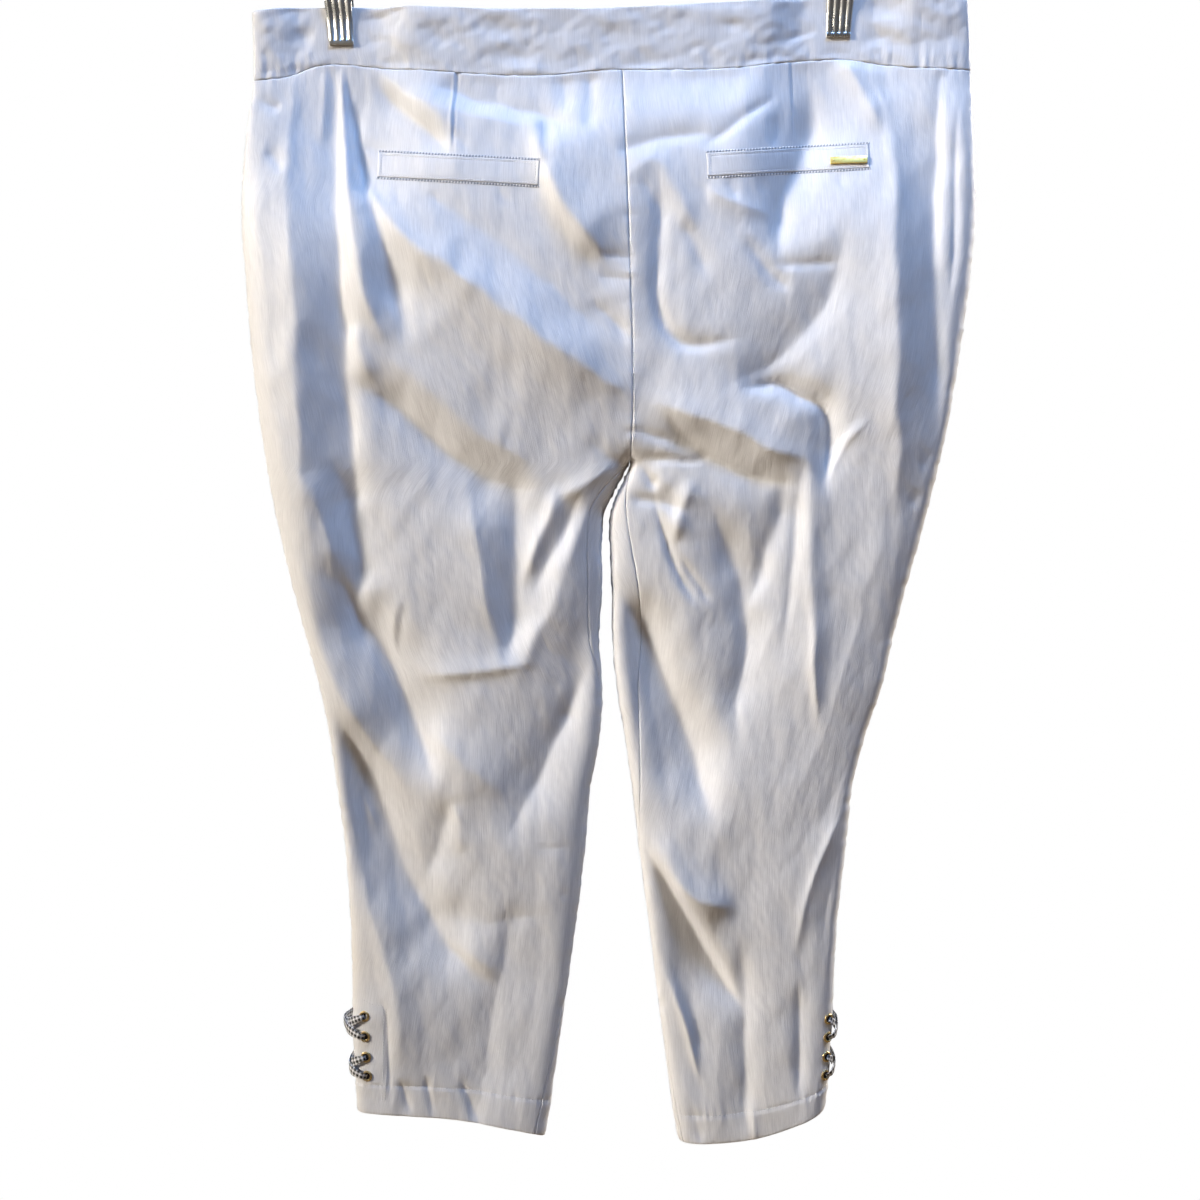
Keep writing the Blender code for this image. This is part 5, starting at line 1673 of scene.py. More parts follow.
@dataclass(frozen=True)
class Waistband:
    """One half of the wide band, side seam to side seam, folded double over its top edge.

    A shift keeps the waves of its two faces apart. Nothing is raised within clip_hold of a clip's
    middle down to clip_hold_drop, nor at the side seams, and it all stands free at clip_free.
    """

    face: Face
    flat: tuple[float, float]
    columns: int = 226
    rows: int = 23
    inner_rows: int = 12
    wall: float = 0.5
    clip_hold: float = 15
    clip_free: float = 28
    clip_hold_drop: float = 150
    clip_hold_fade: float = 6
    end_hold: float = 8
    proudest: float = 0.9
    swells: tuple[Waves, ...] = (Waves(0.4, 46, 0.5, 41), Waves(0.16, 15, 0.7, 42))
    swell_shift: float = 90
    ease: Waves = Waves(0.34, 7, 1, 43)
    ease_shift: float = 50
    ease_height: float = 0.2
    edge_scale: float = 0.0016 / 0.9

    @property
    def name(self) -> str:
        """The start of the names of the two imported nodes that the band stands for."""
        return f"waistband_{self.face.word}"

    def outside(self, u: np.ndarray, v: np.ndarray) -> np.ndarray:
        """The band's outer surface before its creases.

        Args:
            u: The share along the band, from the left side seam.
            v: The share up it.

        Returns:
            The points.
        """
        across = 1 - abs(2 * u - 1)
        drop = WAIST_DROP - v * (WAIST_DROP - BAND_TOP_DROP)
        x, depth = (
            np.where(u < 0.5, left, right)
            for left, right in zip(
                DRAPE.form(Leg.LEFT, self.face, across, drop)[:2],
                DRAPE.form(Leg.RIGHT, self.face, across, drop)[:2],
            )
        )
        seam = read(WAIST, x, "seam") - HALF_GAP
        return np.stack([x, self.face * depth, -(seam + (read(WAIST, x, "top") - seam) * v)], axis=-1)

    def outward(self, u: np.ndarray, v: np.ndarray) -> np.ndarray:
        """Level unit normals, along x at the side seams.

        Args:
            u: The share along the band, from the left side seam.
            v: The share up it.

        Returns:
            The normals.
        """
        along = self.outside(np.clip(u + 0.002, 0, 1), v) - self.outside(np.clip(u - 0.002, 0, 1), v)
        normals = np.stack([-along[..., 1], along[..., 0], np.zeros_like(u)], axis=-1)
        normals *= np.where(normals[..., 1] * self.face > 0, 1, -1)[..., None]
        normals = unit(normals)
        normals[u <= 0] = (-1, 0, 0)
        normals[u >= 1] = (1, 0, 0)
        return normals

    def relief(self, points: np.ndarray, v: np.ndarray) -> np.ndarray:
        """How far creases and ease raise the band, none of it under a clip.

        Args:
            points: The outer surface.
            v: The share up the band.

        Returns:
            The rises.
        """
        x, drop = DRAPE.seen(points[..., 0], abs(points[..., 1]), -points[..., 2])
        raised = sum(wave.at(x + self.swell_shift * self.face, drop) for wave in self.swells)
        for fold in BAND_FOLDS[self.face]:
            raised = raised + fold.lift(x, drop)
        raised = raised * smoothstep(0, 0.08, v) * smoothstep(1, 0.93, v)
        ease = self.ease.at(x + self.ease_shift * self.face, np.zeros_like(x))
        raised = raised + ease * hump(v - 0.05, self.ease_height)
        beside = np.minimum(abs(points[..., 0] - CLIP_OFFSET), abs(points[..., 0] + CLIP_OFFSET))
        top, bottom = self.clip_hold_drop - self.clip_hold_fade, self.clip_hold_drop + self.clip_hold_fade
        free = np.maximum(smoothstep(self.clip_hold, self.clip_free, beside), smoothstep(top, bottom, drop))
        ends = points[:, :1, 0], points[:, -1:, 0]
        from_ends = np.minimum(*(abs(points[..., 0] - end) for end in ends))
        return np.minimum(raised, self.proudest) * free * smoothstep(0, self.end_hold, from_ends)

    def grid(self) -> np.ndarray:
        """The band as a grid of points: up the outside, over the top and down the inside.

        Returns:
            Rows by columns by 3, in millimetres.
        """
        places, tucks = edged(np.arange(1, self.columns) / self.columns, self.edge_scale)
        height = WAIST_DROP - BAND_TOP_DROP
        radius = BAND_WALL / 2
        stations = [(0, 2.4), (0, 1.2), (0, 0.45), (0.012, 0.1)]
        stations += [(share, 0) for share in np.linspace(0.04, 1 - (radius + 1.5) / height, self.rows)]
        for angle in np.linspace(0, math.pi, TURN_STEPS + 3):
            rise = 1 - (radius - radius * math.sin(angle)) / height
            stations.append((rise, radius * (1 - math.cos(angle))))
        stations += [(share, BAND_WALL) for share in np.linspace(0.96, 0.02, self.inner_rows)]
        table = np.array(stations)
        u, v = np.meshgrid(places, table[:, 0])
        points, normals = self.outside(u, v), self.outward(u, v)
        raised = self.relief(points, v)
        return points + normals * (raised - table[:, 1][:, None] - tucks[None, :])[..., None]

    def build(self, mesher: Mesher) -> None:
        """Makes the band's cloth.

        Args:
            mesher: The cotton's mesher.
        """
        points = self.grid()
        made = mesher.sheet(f"{self.name}_cloth", points, (0, self.face, 0), self.wall, laid_out(points))
        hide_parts(*(f"{self.name}_{leg.word}" for leg in Leg))
        clips = [f"clip_{leg.word}_{self.face.word}_jaw" for leg in Leg]
        log.info("%s: %d by %d points", made.name, *points.shape[:2])


@dataclass(frozen=True)
class Welt:
    """A back pocket's welt: a doubled strip sewn flat on the panel under the dart.

    Upright stitches stand along both long edges with grey beans of painted shade between them, and a
    flat line of stitches runs round inside the edge.
    """

    leg: Leg
    start: tuple[float, float]
    end: tuple[float, float]
    height: float
    flat: tuple[float, float] = (0.136, 0.023)
    wall: float = 0.4
    lift: float = 0.9
    rim: float = 1.1
    rim_lift: float = 0.4
    columns: int = 60
    rows: int = 10
    edge_steps: tuple[float, ...] = (0, 0.35, 0.8, 1.3)
    seam_step: float = 0.5
    smoothings: int = 3
    lay_shift: tuple[float, float] = (0.31, 0.07)
    seam_end: float = 3.0
    seam_side: float = 1.9
    seam_dip: float = 0.32
    seam_reach: float = 0.55
    upright: Stitch = Stitch(2.6, 1.15, 1.1, 0.15)
    upright_pitch: float = 2.5
    upright_outset: float = 1.1
    upright_lean: tuple[float, float, float] = (0.2, 0, 1)
    # Grey beans of painted shade between the upright stitches.
    mark: Stitch = Stitch(2.3, 1.3, 0.4, 0.12)
    flat_stitch: Stitch = Stitch(1.8, 0.7, 0.6, 0.08)
    flat_pitch: float = 2.1

    @property
    def name(self) -> str:
        """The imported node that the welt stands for."""
        return f"welt_{self.leg.word}"

    @property
    def length(self) -> float:
        """The distance between its ends."""
        return math.dist(self.start, self.end)

    def place(self, along: float, down: float) -> tuple[float, float]:
        """A place of the strip on the elevation.

        Args:
            along: Millimetres along from its start.
            down: Millimetres down from its top edge.

        Returns:
            The x and the drop.
        """
        start, end = Vector(self.start), Vector(self.end)
        way = (end - start).normalized()
        here = start + way * along + Vector((-way.y, way.x)) * down
        return here.x, here.y

    def stations(self, size: float, count: int, seam: float) -> np.ndarray:
        """Places over a size, closer at both ends and at the sewn line inside each end.

        Args:
            size: The size.
            count: How many even places it has.
            seam: How far in the sewn line lies.

        Returns:
            The places.
        """
        near = np.array([*self.edge_steps, seam - self.seam_step, seam, seam + self.seam_step])
        near = np.unique(np.round(near, 2))
        even = np.linspace(near[-1], size - near[-1], count)[1:-1]
        return np.concatenate([near, even, size - near[::-1]])

    def grid(self, tree: BVHTree) -> np.ndarray:
        """The strip's outer surface over the panel.

        Args:
            tree: The panel's surface.

        Returns:
            Rows by columns by 3, in millimetres.
        """
        along = self.stations(self.length, self.columns, self.seam_end)
        down = self.stations(self.height, self.rows, self.seam_side)
        under = np.array([[sighted(tree, Face.BACK, *self.place(a, d))[0][:] for a in along] for d in down])
        smooth = under.copy()
        for _ in range(self.smoothings):
            smooth[:, 1:-1] = (smooth[:, :-2] + 2 * smooth[:, 1:-1] + smooth[:, 2:]) / 4
            smooth[1:-1] = (smooth[:-2] + 2 * smooth[1:-1] + smooth[2:]) / 4
        smooth[..., 1] = np.minimum(smooth[..., 1], under[..., 1])
        from_end = np.minimum(along, self.length - along)[None, :]
        from_side = np.minimum(down, self.height - down)[:, None]
        edge = np.minimum(from_end, from_side)
        share = np.sqrt(1 - (1 - np.clip(edge / self.rim, 0, 1)) ** 2)
        lift = self.rim_lift + (self.lift - self.rim_lift) * share
        within = np.minimum(from_end - self.seam_end, from_side - self.seam_side)
        smooth[..., 1] -= lift - self.seam_dip * hump(within, self.seam_reach)
        return smooth

    def build(self, tree: BVHTree, cotton: Mesher, thread: Mesher, shade: Mesher) -> BVHTree:
        """Makes the strip, its sewn line, the short upright stitches along its edges and the painted shade
        between them.

        Args:
            tree: The back panel.
            cotton: The cloth's mesher.
            thread: The thread's mesher.
            shade: The mesher of the grey beans of painted shade between the upright stitches.

        Returns:
            A search tree over the strip.
        """
        points = self.grid(tree)
        lay = laid_out(points) + np.array(self.lay_shift) * (self.leg, 1)
        made = cotton.sheet(f"{self.name}_cloth", points, (0, -1, 0), self.wall, lay)
        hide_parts(self.name)
        strip = surface_of(points)
        bm, painted_shade_beans = bmesh.new(), bmesh.new()
        lean = Vector(self.upright_lean)
        count = 2 * int(self.length / self.upright_pitch)
        for down in (-self.upright_outset, self.height + self.upright_outset):
            for k in range(count + 1):
                point, normal = sighted(tree, Face.BACK, *self.place(self.length * k / count, down))
                # Every other place gets a grey bean of painted shade instead of a stitch.
                stitch, row = (self.mark, painted_shade_beans) if k % 2 else (self.upright, bm)
                stitch.sew(row, point, lean, normal)
        low, high = self.seam_side, self.height - self.seam_side
        near, far = self.seam_end, self.length - self.seam_end
        corners = [(near, low), (far, low), (far, high), (near, high), (near, low)]
        line = [self.place(*corner) for corner in corners]
        for side in zip(line, line[1:]):
            self.flat_stitch.row(bm, strip, Face.BACK, side, self.flat_pitch)
        sewn = thread.finish(f"{self.name}_stitching", bm)
        shade.finish(f"{self.name}_needle_marks", painted_shade_beans)
        "back_" + self.leg.word + "_cloth"
        log.info("%s: %.0f mm long", made.name, self.length)
        return strip


def node_axes(node: str) -> tuple[np.ndarray, np.ndarray, np.ndarray]:
    """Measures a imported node.

    Args:
        node: Its name.

    Returns:
        Its middle, its axes from the longest to the shortest, and its sizes along them.
    """
    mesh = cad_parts[node].data
    points = np.array([vertex.co for vertex in mesh.vertices], float) / MM
    points = np.unique(points.round(3), axis=0)
    middle = points.mean(axis=0)
    _, _, axes = np.linalg.svd(points - middle)
    spread = (points - middle) @ axes.T
    middle = middle + axes.T @ ((spread.max(axis=0) + spread.min(axis=0)) / 2)
    return middle, axes, np.ptp(spread, axis=0)


@dataclass(frozen=True)
class Plate:
    """The bare metal plate on the right welt: a bevelled bar held by two round rivets."""

    thickness: float = 0.9
    bevel: float = 0.28
    rivet_radius: float = 0.85
    rivet_inset: float = 2.6
    rivet_height: float = 0.45
    lowered: float = 3.5
    seats: tuple[float, ...] = (-0.5, -0.25, 0, 0.25, 0.5)
    sharp: float = 35

    def build(self, mesher: Mesher, strip: BVHTree) -> None:
        """Makes the plate on its welt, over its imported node.

        Args:
            mesher: The gold's mesher.
            strip: The welt's surface.
        """
        middle, axes, sizes = node_axes("welt_plate")
        middle[2] -= self.lowered
        spots, heights = [], []
        for along in self.seats:
            for up in (-0.5, 0.5):
                spot = Vector(middle) + Vector(axes[0]) * sizes[0] * along + Vector(axes[1]) * sizes[1] * up
                spots.append((spot.x, spot.z, 1))
                heights.append(spot.y - on_cloth((strip,), spot, Vector((0, -1, 0))))
        plane = np.linalg.lstsq(np.array(spots), np.array(heights), rcond=None)[0]
        proud = (np.array(spots) @ plane - heights).max()
        middle[1] = middle[0] * plane[0] + middle[2] * plane[1] + plane[2]
        middle[1] -= proud + GAP + self.thickness / 2
        lengthwise = Vector(axes[0])
        lengthwise.y = lengthwise.x * plane[0] + lengthwise.z * plane[1]
        lengthwise.normalize()
        upward = Vector((plane[0], -1, plane[1])).cross(lengthwise).normalized()
        outward = lengthwise.cross(upward).normalized()
        if outward.y > 0:
            upward.negate()
            outward.negate()
        place = Matrix((lengthwise, upward, outward)).transposed().to_4x4()
        place.translation = middle
        bm = bmesh.new()
        size = Matrix.Diagonal((sizes[0], sizes[1], self.thickness, 1))
        bmesh.ops.create_cube(bm, size=1, matrix=size)
        bmesh.ops.bevel(
            bm, geom=bm.edges[:], offset=self.bevel, affect="EDGES", segments=3, profile=0.5, material=-1
        )
        for end in (-1, 1):
            at = Matrix.Translation((end * (sizes[0] / 2 - self.rivet_inset), 0, self.thickness / 2))
            dome = Matrix.Diagonal((self.rivet_radius, self.rivet_radius, self.rivet_height, 1))
            bmesh.ops.create_uvsphere(bm, u_segments=20, v_segments=10, radius=1, matrix=at @ dome)
        bmesh.ops.transform(bm, matrix=place, verts=bm.verts)
        made = mesher.finish("welt_plate_bar", bm, self.sharp)
        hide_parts("welt_plate")
        log.info("%s: %.1f by %.1f mm", made.name, sizes[0], sizes[1])


@dataclass(frozen=True)
class EyeletRow:
    """A row of eyelets beside a side seam: its distance from that edge, and its drops."""

    leg: Leg
    face: Face
    inset: float
    drops: tuple[float, ...]


EYELET_ROWS = (
    EyeletRow(Leg.LEFT, Face.BACK, 11.5, (929.0, 946.5, 966.5, 985.5)),
    EyeletRow(Leg.LEFT, Face.FRONT, 11.5, (929.0, 946.5, 966.5, 985.5)),
    EyeletRow(Leg.RIGHT, Face.BACK, 4.5, (938.0, 953.5, 971.0, 987.5)),
    EyeletRow(Leg.RIGHT, Face.FRONT, 13.0, (938.0, 953.5, 971.0, 987.5)),
)


@dataclass(frozen=True)
class Seat:
    """Where an eyelet stands: its place round the leg, its foot on the cloth and its outward axis."""

    across: float
    drop: float
    foot: Vector
    outward: Vector


@dataclass(frozen=True)
class Eyelet:
    """A rolled metal ring with a short barrel, and a black disc of painted shade across its hole."""

    hole: float = 2.55
    outer: float = 4.4
    height: float = 1.2
    barrel: float = 0.5
    floor: float = 0.1
    segments: int = 36
    sharp: float = 50

    def profile(self) -> list[tuple[float, float]]:
        """The ring's section.

        Returns:
            Points of radius and height above its foot.
        """
        top, mid = self.height, (self.hole + self.outer) / 2
        return [
            (self.hole, -self.barrel),
            (self.hole, top * 0.5),
            (self.hole + 0.16, top * 0.8),
            (self.hole + 0.45, top * 0.97),
            (mid, top),
            (self.outer - 0.45, top * 0.86),
            (self.outer - 0.14, top * 0.55),
            (self.outer, top * 0.18),
            (self.outer - 0.12, 0),
            (self.hole + 0.35, 0.05),
            (self.hole + 0.3, -self.barrel),
        ]

    def build(self, node: str, mesher: Mesher, dark: Material, seat: Seat) -> None:
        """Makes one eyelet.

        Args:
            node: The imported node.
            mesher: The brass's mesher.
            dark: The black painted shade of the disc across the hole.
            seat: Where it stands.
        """
        bm = bmesh.new()
        spun(bm, self.profile(), Z_AXIS, self.segments, True)
        # A disc of black painted shade closes the hole just above its foot.
        floor = Matrix.Translation((0, 0, self.floor))
        hole = bmesh.ops.create_circle(
            bm, cap_ends=True, segments=self.segments, radius=self.hole, matrix=floor
        )
        bmesh.ops.recalc_face_normals(bm, faces=bm.faces)
        for face in hole["verts"][0].link_faces:
            face.material_index = 1
            if face.normal.z < 0:
                face.normal_flip()
        turn = seat.outward.to_track_quat("Z", "Y").to_matrix().to_4x4()
        bmesh.ops.transform(bm, matrix=Matrix.Translation(seat.foot) @ turn, verts=bm.verts)
        made = mesher.finish(f"{node}_ring", bm, self.sharp)
        made.data.materials.append(dark)
        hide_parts(node)


@dataclass(frozen=True)
class Crossing:
    """Two ribbons that cross over a side seam, between two pairs of eyelets."""

    leg: Leg
    upper: int
    lower: int
    slack: float


CROSSINGS = (
    Crossing(Leg.LEFT, 0, 1, 7.0),
    Crossing(Leg.LEFT, 2, 3, 2.2),
    Crossing(Leg.RIGHT, 0, 1, 4.0),
    Crossing(Leg.RIGHT, 2, 3, 2.5),
)


@dataclass(frozen=True)
class Lacing:
    """The eyelets beside both side seams and the gingham ribbons between them.

    A ribbon leaves an eyelet at its neck, and its end lies inside the eyelet's hole. Fall, flare and
    bend are shares of its length from either end: over them it passes from the eyelet's rim to its
    height at the seam, from the neck's width to the whole, and from flat to the crown.
    """

    eyelet: Eyelet = Eyelet()
    width: float = 8
    neck_width: float = 4.2
    end_width: float = 2.8
    end_spread: float = 0.8
    end_sink: float = 0.2
    thickness: float = 1.0
    layer: float = 1.7
    wall: float = 0.35
    crown: float = 0.5
    fall: tuple[float, float] = (0.12, 0.5)
    flare: tuple[float, float] = (0, 0.2)
    bend: tuple[float, float] = (0, 0.15)
    bow: float = 1.5
    samples: int = 400
    blur: int = 7
    steps: int = 44
    columns: int = 8

    def build(
        self, brass: Mesher, gingham: Mesher, dark: Material, trees: dict[tuple[Leg, Face], BVHTree]
    ) -> None:
        """Makes every eyelet and ribbon.

        Args:
            brass: The eyelets' mesher.
            gingham: The ribbons' mesher.
            dark: The black painted shade across the holes.
            trees: Each panel's surface.
        """
        seats = {}
        for row in EYELET_ROWS:
            for i, drop in enumerate(row.drops):
                seat = self.seat(row, drop, trees[row.leg, row.face])
                self.eyelet.build(f"eyelet_{row.leg.word}_{row.face.word}_{i + 1}", brass, dark, seat)
                seats[row.leg, row.face, i] = seat
        log.info("eyelets: %d", len(seats))
        for row in CROSSINGS:
            under = [trees[row.leg, face] for face in Face]
            for over, (first, second) in enumerate(((row.upper, row.lower), (row.lower, row.upper))):
                node = f"ribbon_{row.leg.word}_{row.upper + 1}{'ab'[over]}"
                back, front = seats[row.leg, Face.BACK, first], seats[row.leg, Face.FRONT, second]
                self.ribbon(node, row, back, front, over, gingham, under)

    def seat(self, row: EyeletRow, drop: float, tree: BVHTree) -> Seat:
        """Where an eyelet of a row stands on its panel.

        Args:
            row: The row.
            drop: The eyelet's nominal drop.
            tree: The panel's surface.

        Returns:
            The seat.
        """
        across = self.way_round(row.leg, row.face, drop, row.inset)
        spot = np.array([across]), np.array([drop])
        outward = Vector(DRAPE.outward(row.leg, *spot, np.array([row.face]))[0])
        place = Vector(DRAPE.points(row.leg, row.face, *spot)[0])
        return Seat(across, drop, place + outward * on_cloth((tree,), place, outward), outward)

    @staticmethod
    def way_round(leg: Leg, face: Face, drop: float, inset: float) -> float:
        """How far across the panel a place lies that is inset from the side seam's edge.

        Args:
            leg: Which half.
            face: Which face.
            drop: The nominal drop.
            inset: The inset.

        Returns:
            The place across, 0 to 1.
        """
        across = np.linspace(0, 0.5, 2001)
        x = DRAPE.form(leg, face, across, np.full(across.shape, drop))[0]
        return float(np.interp(inset, abs(x - DRAPE.side_edge(leg, drop)), across))

    def ribbon(
        self,
        node: str,
        row: Crossing,
        back: Seat,
        front: Seat,
        over: int,
        mesher: Mesher,
        under: Sequence[BVHTree],
    ) -> None:
        """Makes one ribbon from a back eyelet's hole, over the side seam, into a front one's.

        Args:
            node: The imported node.
            row: The crossing.
            back: The back eyelet.
            front: The front eyelet.
            over: 1 for the ribbon that lies on the other.
            mesher: The gingham's mesher.
            under: The surfaces that it lies on.
        """
        share = np.linspace(0, 1, self.steps)
        from_end = np.minimum(share, 1 - share)
        dense = np.linspace(0, 2, self.samples)
        on_back = dense < 1
        across = np.where(on_back, back.across, front.across) * abs(1 - dense) ** self.bow
        drop = back.drop + (front.drop - back.drop) * dense / 2
        sides = np.where(on_back, Face.BACK, Face.FRONT)
        way = DRAPE.points(row.leg, sides, across, drop)
        normals = DRAPE.outward(row.leg, across, drop, sides)
        ways = walked(way)
        place, outward = (
            np.stack([np.interp(share, ways / ways[-1], line[:, k]) for k in range(3)], axis=-1)
            for line in (way, normals)
        )
        outward = unit(outward)
        clear = GAP + self.thickness / 2 + over * self.layer
        rim = self.eyelet.height + GAP + clear
        height = rim + (clear + row.slack - rim) * smoothstep(*self.fall, from_end)
        raised = np.array([on_cloth(under, Vector(p), Vector(o)) for p, o in zip(place, outward)])
        even = np.ones(self.blur) / self.blur
        raised = np.convolve(np.pad(raised, self.blur // 2, "edge"), even, "valid")
        centre = place + outward * (height + raised)[:, None]
        width = self.neck_width + (self.width - self.neck_width) * smoothstep(*self.flare, from_end)
        for end, near, seat in ((0, 1, back), (-1, -2, front)):
            sunk = self.eyelet.height / 2 - self.end_sink
            centre[end] = seat.foot + seat.outward * sunk
            centre[near] = seat.foot + seat.outward * (self.eyelet.height + self.end_spread)
            width[end], width[near] = self.end_width, self.end_width + self.end_spread
        ahead = unit(np.gradient(centre, axis=0))
        crosswise = unit(np.cross(ahead, outward))
        crosswise[0], crosswise[-1] = crosswise[1], crosswise[-2]
        lifted = unit(np.cross(crosswise, ahead))
        lifted *= np.sign((lifted * outward).sum(axis=1))[:, None]
        side = np.linspace(-1, 1, self.columns + 1)
        arch = self.crown * (1 - side**2)
        points = (
            centre[:, None]
            + crosswise[:, None] * (side[None, :, None] * width[:, None, None] / 2)
            + lifted[:, None] * arch[None, :, None] * smoothstep(*self.bend, from_end)[:, None, None]
        )
        made = mesher.sheet(f"{node}_cloth", points, lifted[self.steps // 2], self.wall, laid_out(points))
        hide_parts(node)
        log.info("%s", made.name)


@dataclass(frozen=True)
class SewnLine:
    """A line of stitches on the elevation of one panel."""

    name: str
    leg: Leg
    face: Face
    pitch: float
    points: tuple[tuple[float, float], ...]


SEWN_LINES = (
    SewnLine("centre_stitching", Leg.RIGHT, Face.BACK, 2.0, ((30.6, 303), (31.4, 385), (32, 466))),
    SewnLine("placket_stitching_left_inner", Leg.LEFT, Face.BACK, 2.4, (
        (-180, 930), (-179.4, 960), (-180.6, 984), (-182, 1006),
    )),
    SewnLine("placket_stitching_left", Leg.LEFT, Face.BACK, 2.4, (
        (-199, 923), (-191, 927), (-183, 928), (-182, 934), (-183, 970), (-184.5, 1006),
    )),
    SewnLine("placket_stitching_left_front", Leg.LEFT, Face.FRONT, 2.4, (
        (-197, 923), (-190, 927), (-183, 928), (-182, 934), (-183, 970), (-184, 1004),
    )),
    SewnLine("placket_stitching_right_front", Leg.RIGHT, Face.FRONT, 2.4, (
        (176, 927), (168, 930), (160, 931), (158, 937), (156, 975), (154, 1010),
    )),
)


@dataclass(frozen=True)
class Trousers:
    """The garment: band, panels, welts, plate, lacing and all its stitches."""

    cotton: Mesher
    gingham: Mesher
    brass: Mesher
    gold: Mesher
    thread: Mesher
    # Grey painted shade between the welt's upright stitches.
    shade: Mesher
    # Black painted shade across the eyelets' holes.
    dark: Material
    seam_stitch: Stitch = Stitch(1.9, 0.5, 0.4, 0.08)
    hem_stitch: Stitch = Stitch(1.9, 0.5, 0.4, 0.1)
    hem_pitch: float = 3.1
    panels: tuple[Panel, ...] = (
        Panel(Leg.LEFT, Face.BACK, 118, 2.7, (0.36, 0.92), 0.248, 26, Dart(0.641, 234)),
        Panel(Leg.RIGHT, Face.BACK, 118, 2.7, (0.35, 0.92), 0.218, 20.5, Dart(0.61, 229)),
        Panel(Leg.LEFT, Face.FRONT, 88, 3.6, (0.36, 0.92), 0.259, 26),
        Panel(Leg.RIGHT, Face.FRONT, 88, 3.6, (0.35, 0.92), 0.243, 20.5),
    )
    bands: tuple[Waistband, ...] = (
        Waistband(Face.BACK, (0.59, 0.115)),
        Waistband(Face.FRONT, (0.59, 0.115)),
    )
    welts: tuple[Welt, ...] = (
        Welt(Leg.LEFT, (-175, 228), (-43, 237), 20),
        Welt(Leg.RIGHT, (94, 233), (227, 228), 19),
    )

    def build(self) -> None:
        """Makes every piece of the garment."""
        for band in self.bands:
            band.build(self.cotton)
        trees = {}
        for panel in self.panels:
            trees[panel.leg, panel.face] = panel.build(self.cotton)
            panel.hem_stitches(self.thread, self.hem_stitch, self.hem_pitch)
        strips = {}
        for welt in self.welts:
            strips[welt.leg] = welt.build(trees[welt.leg, Face.BACK], self.cotton, self.thread, self.shade)
        Plate().build(self.gold, strips[Leg.RIGHT])
        for line in SEWN_LINES:
            self.sew(line, trees[line.leg, line.face])
        Lacing().build(self.brass, self.gingham, self.dark, trees)

    def sew(self, line: SewnLine, tree: BVHTree) -> None:
        """Makes one line of stitches on a panel.

        Args:
            line: The line.
            tree: The panel's surface.
        """
        bm = bmesh.new()
        self.seam_stitch.row(bm, tree, line.face, line.points, line.pitch)
        made = self.thread.finish(line.name, bm)
        log.info("%s", made.name)


@dataclass(frozen=True)
class JawLevel:
    """A level of a clip's jaw: height over the bar, inner face from the seam plane, and half width.

    Ribs is 1 where the ribs stand at their full height and 0 on a flat lip, and wall the metal's
    thickness under them.
    """

    height: float
    stand_off: float
    half_width: float
    wall: float
    ribs: float


JAW_LEVELS = (
    JawLevel(15.0, 9.6, 9.2, 1.0, 0),
    JawLevel(14.7, 9.4, 9.5, 1.7, 0),
    JawLevel(14.0, 9.2, 9.7, 2.0, 0),
    JawLevel(12.5, 8.75, 10.1, 2.0, 0),
    JawLevel(12.0, 8.6, 10.2, 1.5, 0.4),
    JawLevel(11.4, 8.5, 10.25, 1.1, 1),
    JawLevel(7.5, 7.3, 10.6, 1.1, 1),
    JawLevel(4, 6.6, 10.9, 1.1, 1),
    JawLevel(-2, 6.45, 11.0, 1.1, 1),
    JawLevel(-9, 6.3, 11.0, 1.1, 1),
    JawLevel(-14, 5.3, 10.9, 1.1, 1),
    JawLevel(-20, 3.9, 10.7, 1.1, 1),
    JawLevel(-25, 2.9, 10.6, 1.1, 1),
    JawLevel(-29, 2.6, 10.5, 1.1, 1),
    JawLevel(-36, 2.6, 10.3, 1.1, 1),
    JawLevel(-41.6, 2.6, 10.15, 1.1, 1),
    JawLevel(-42.2, 2.6, 10.1, 1.5, 0.4),
    JawLevel(-42.8, 2.6, 10.1, 2.0, 0),
    JawLevel(-45.2, 2.6, 10.0, 2.0, 0),
    JawLevel(-45.8, 2.6, 9.9, 1.7, 0),
    JawLevel(-46, 2.6, 9.7, 1.1, 0),
)


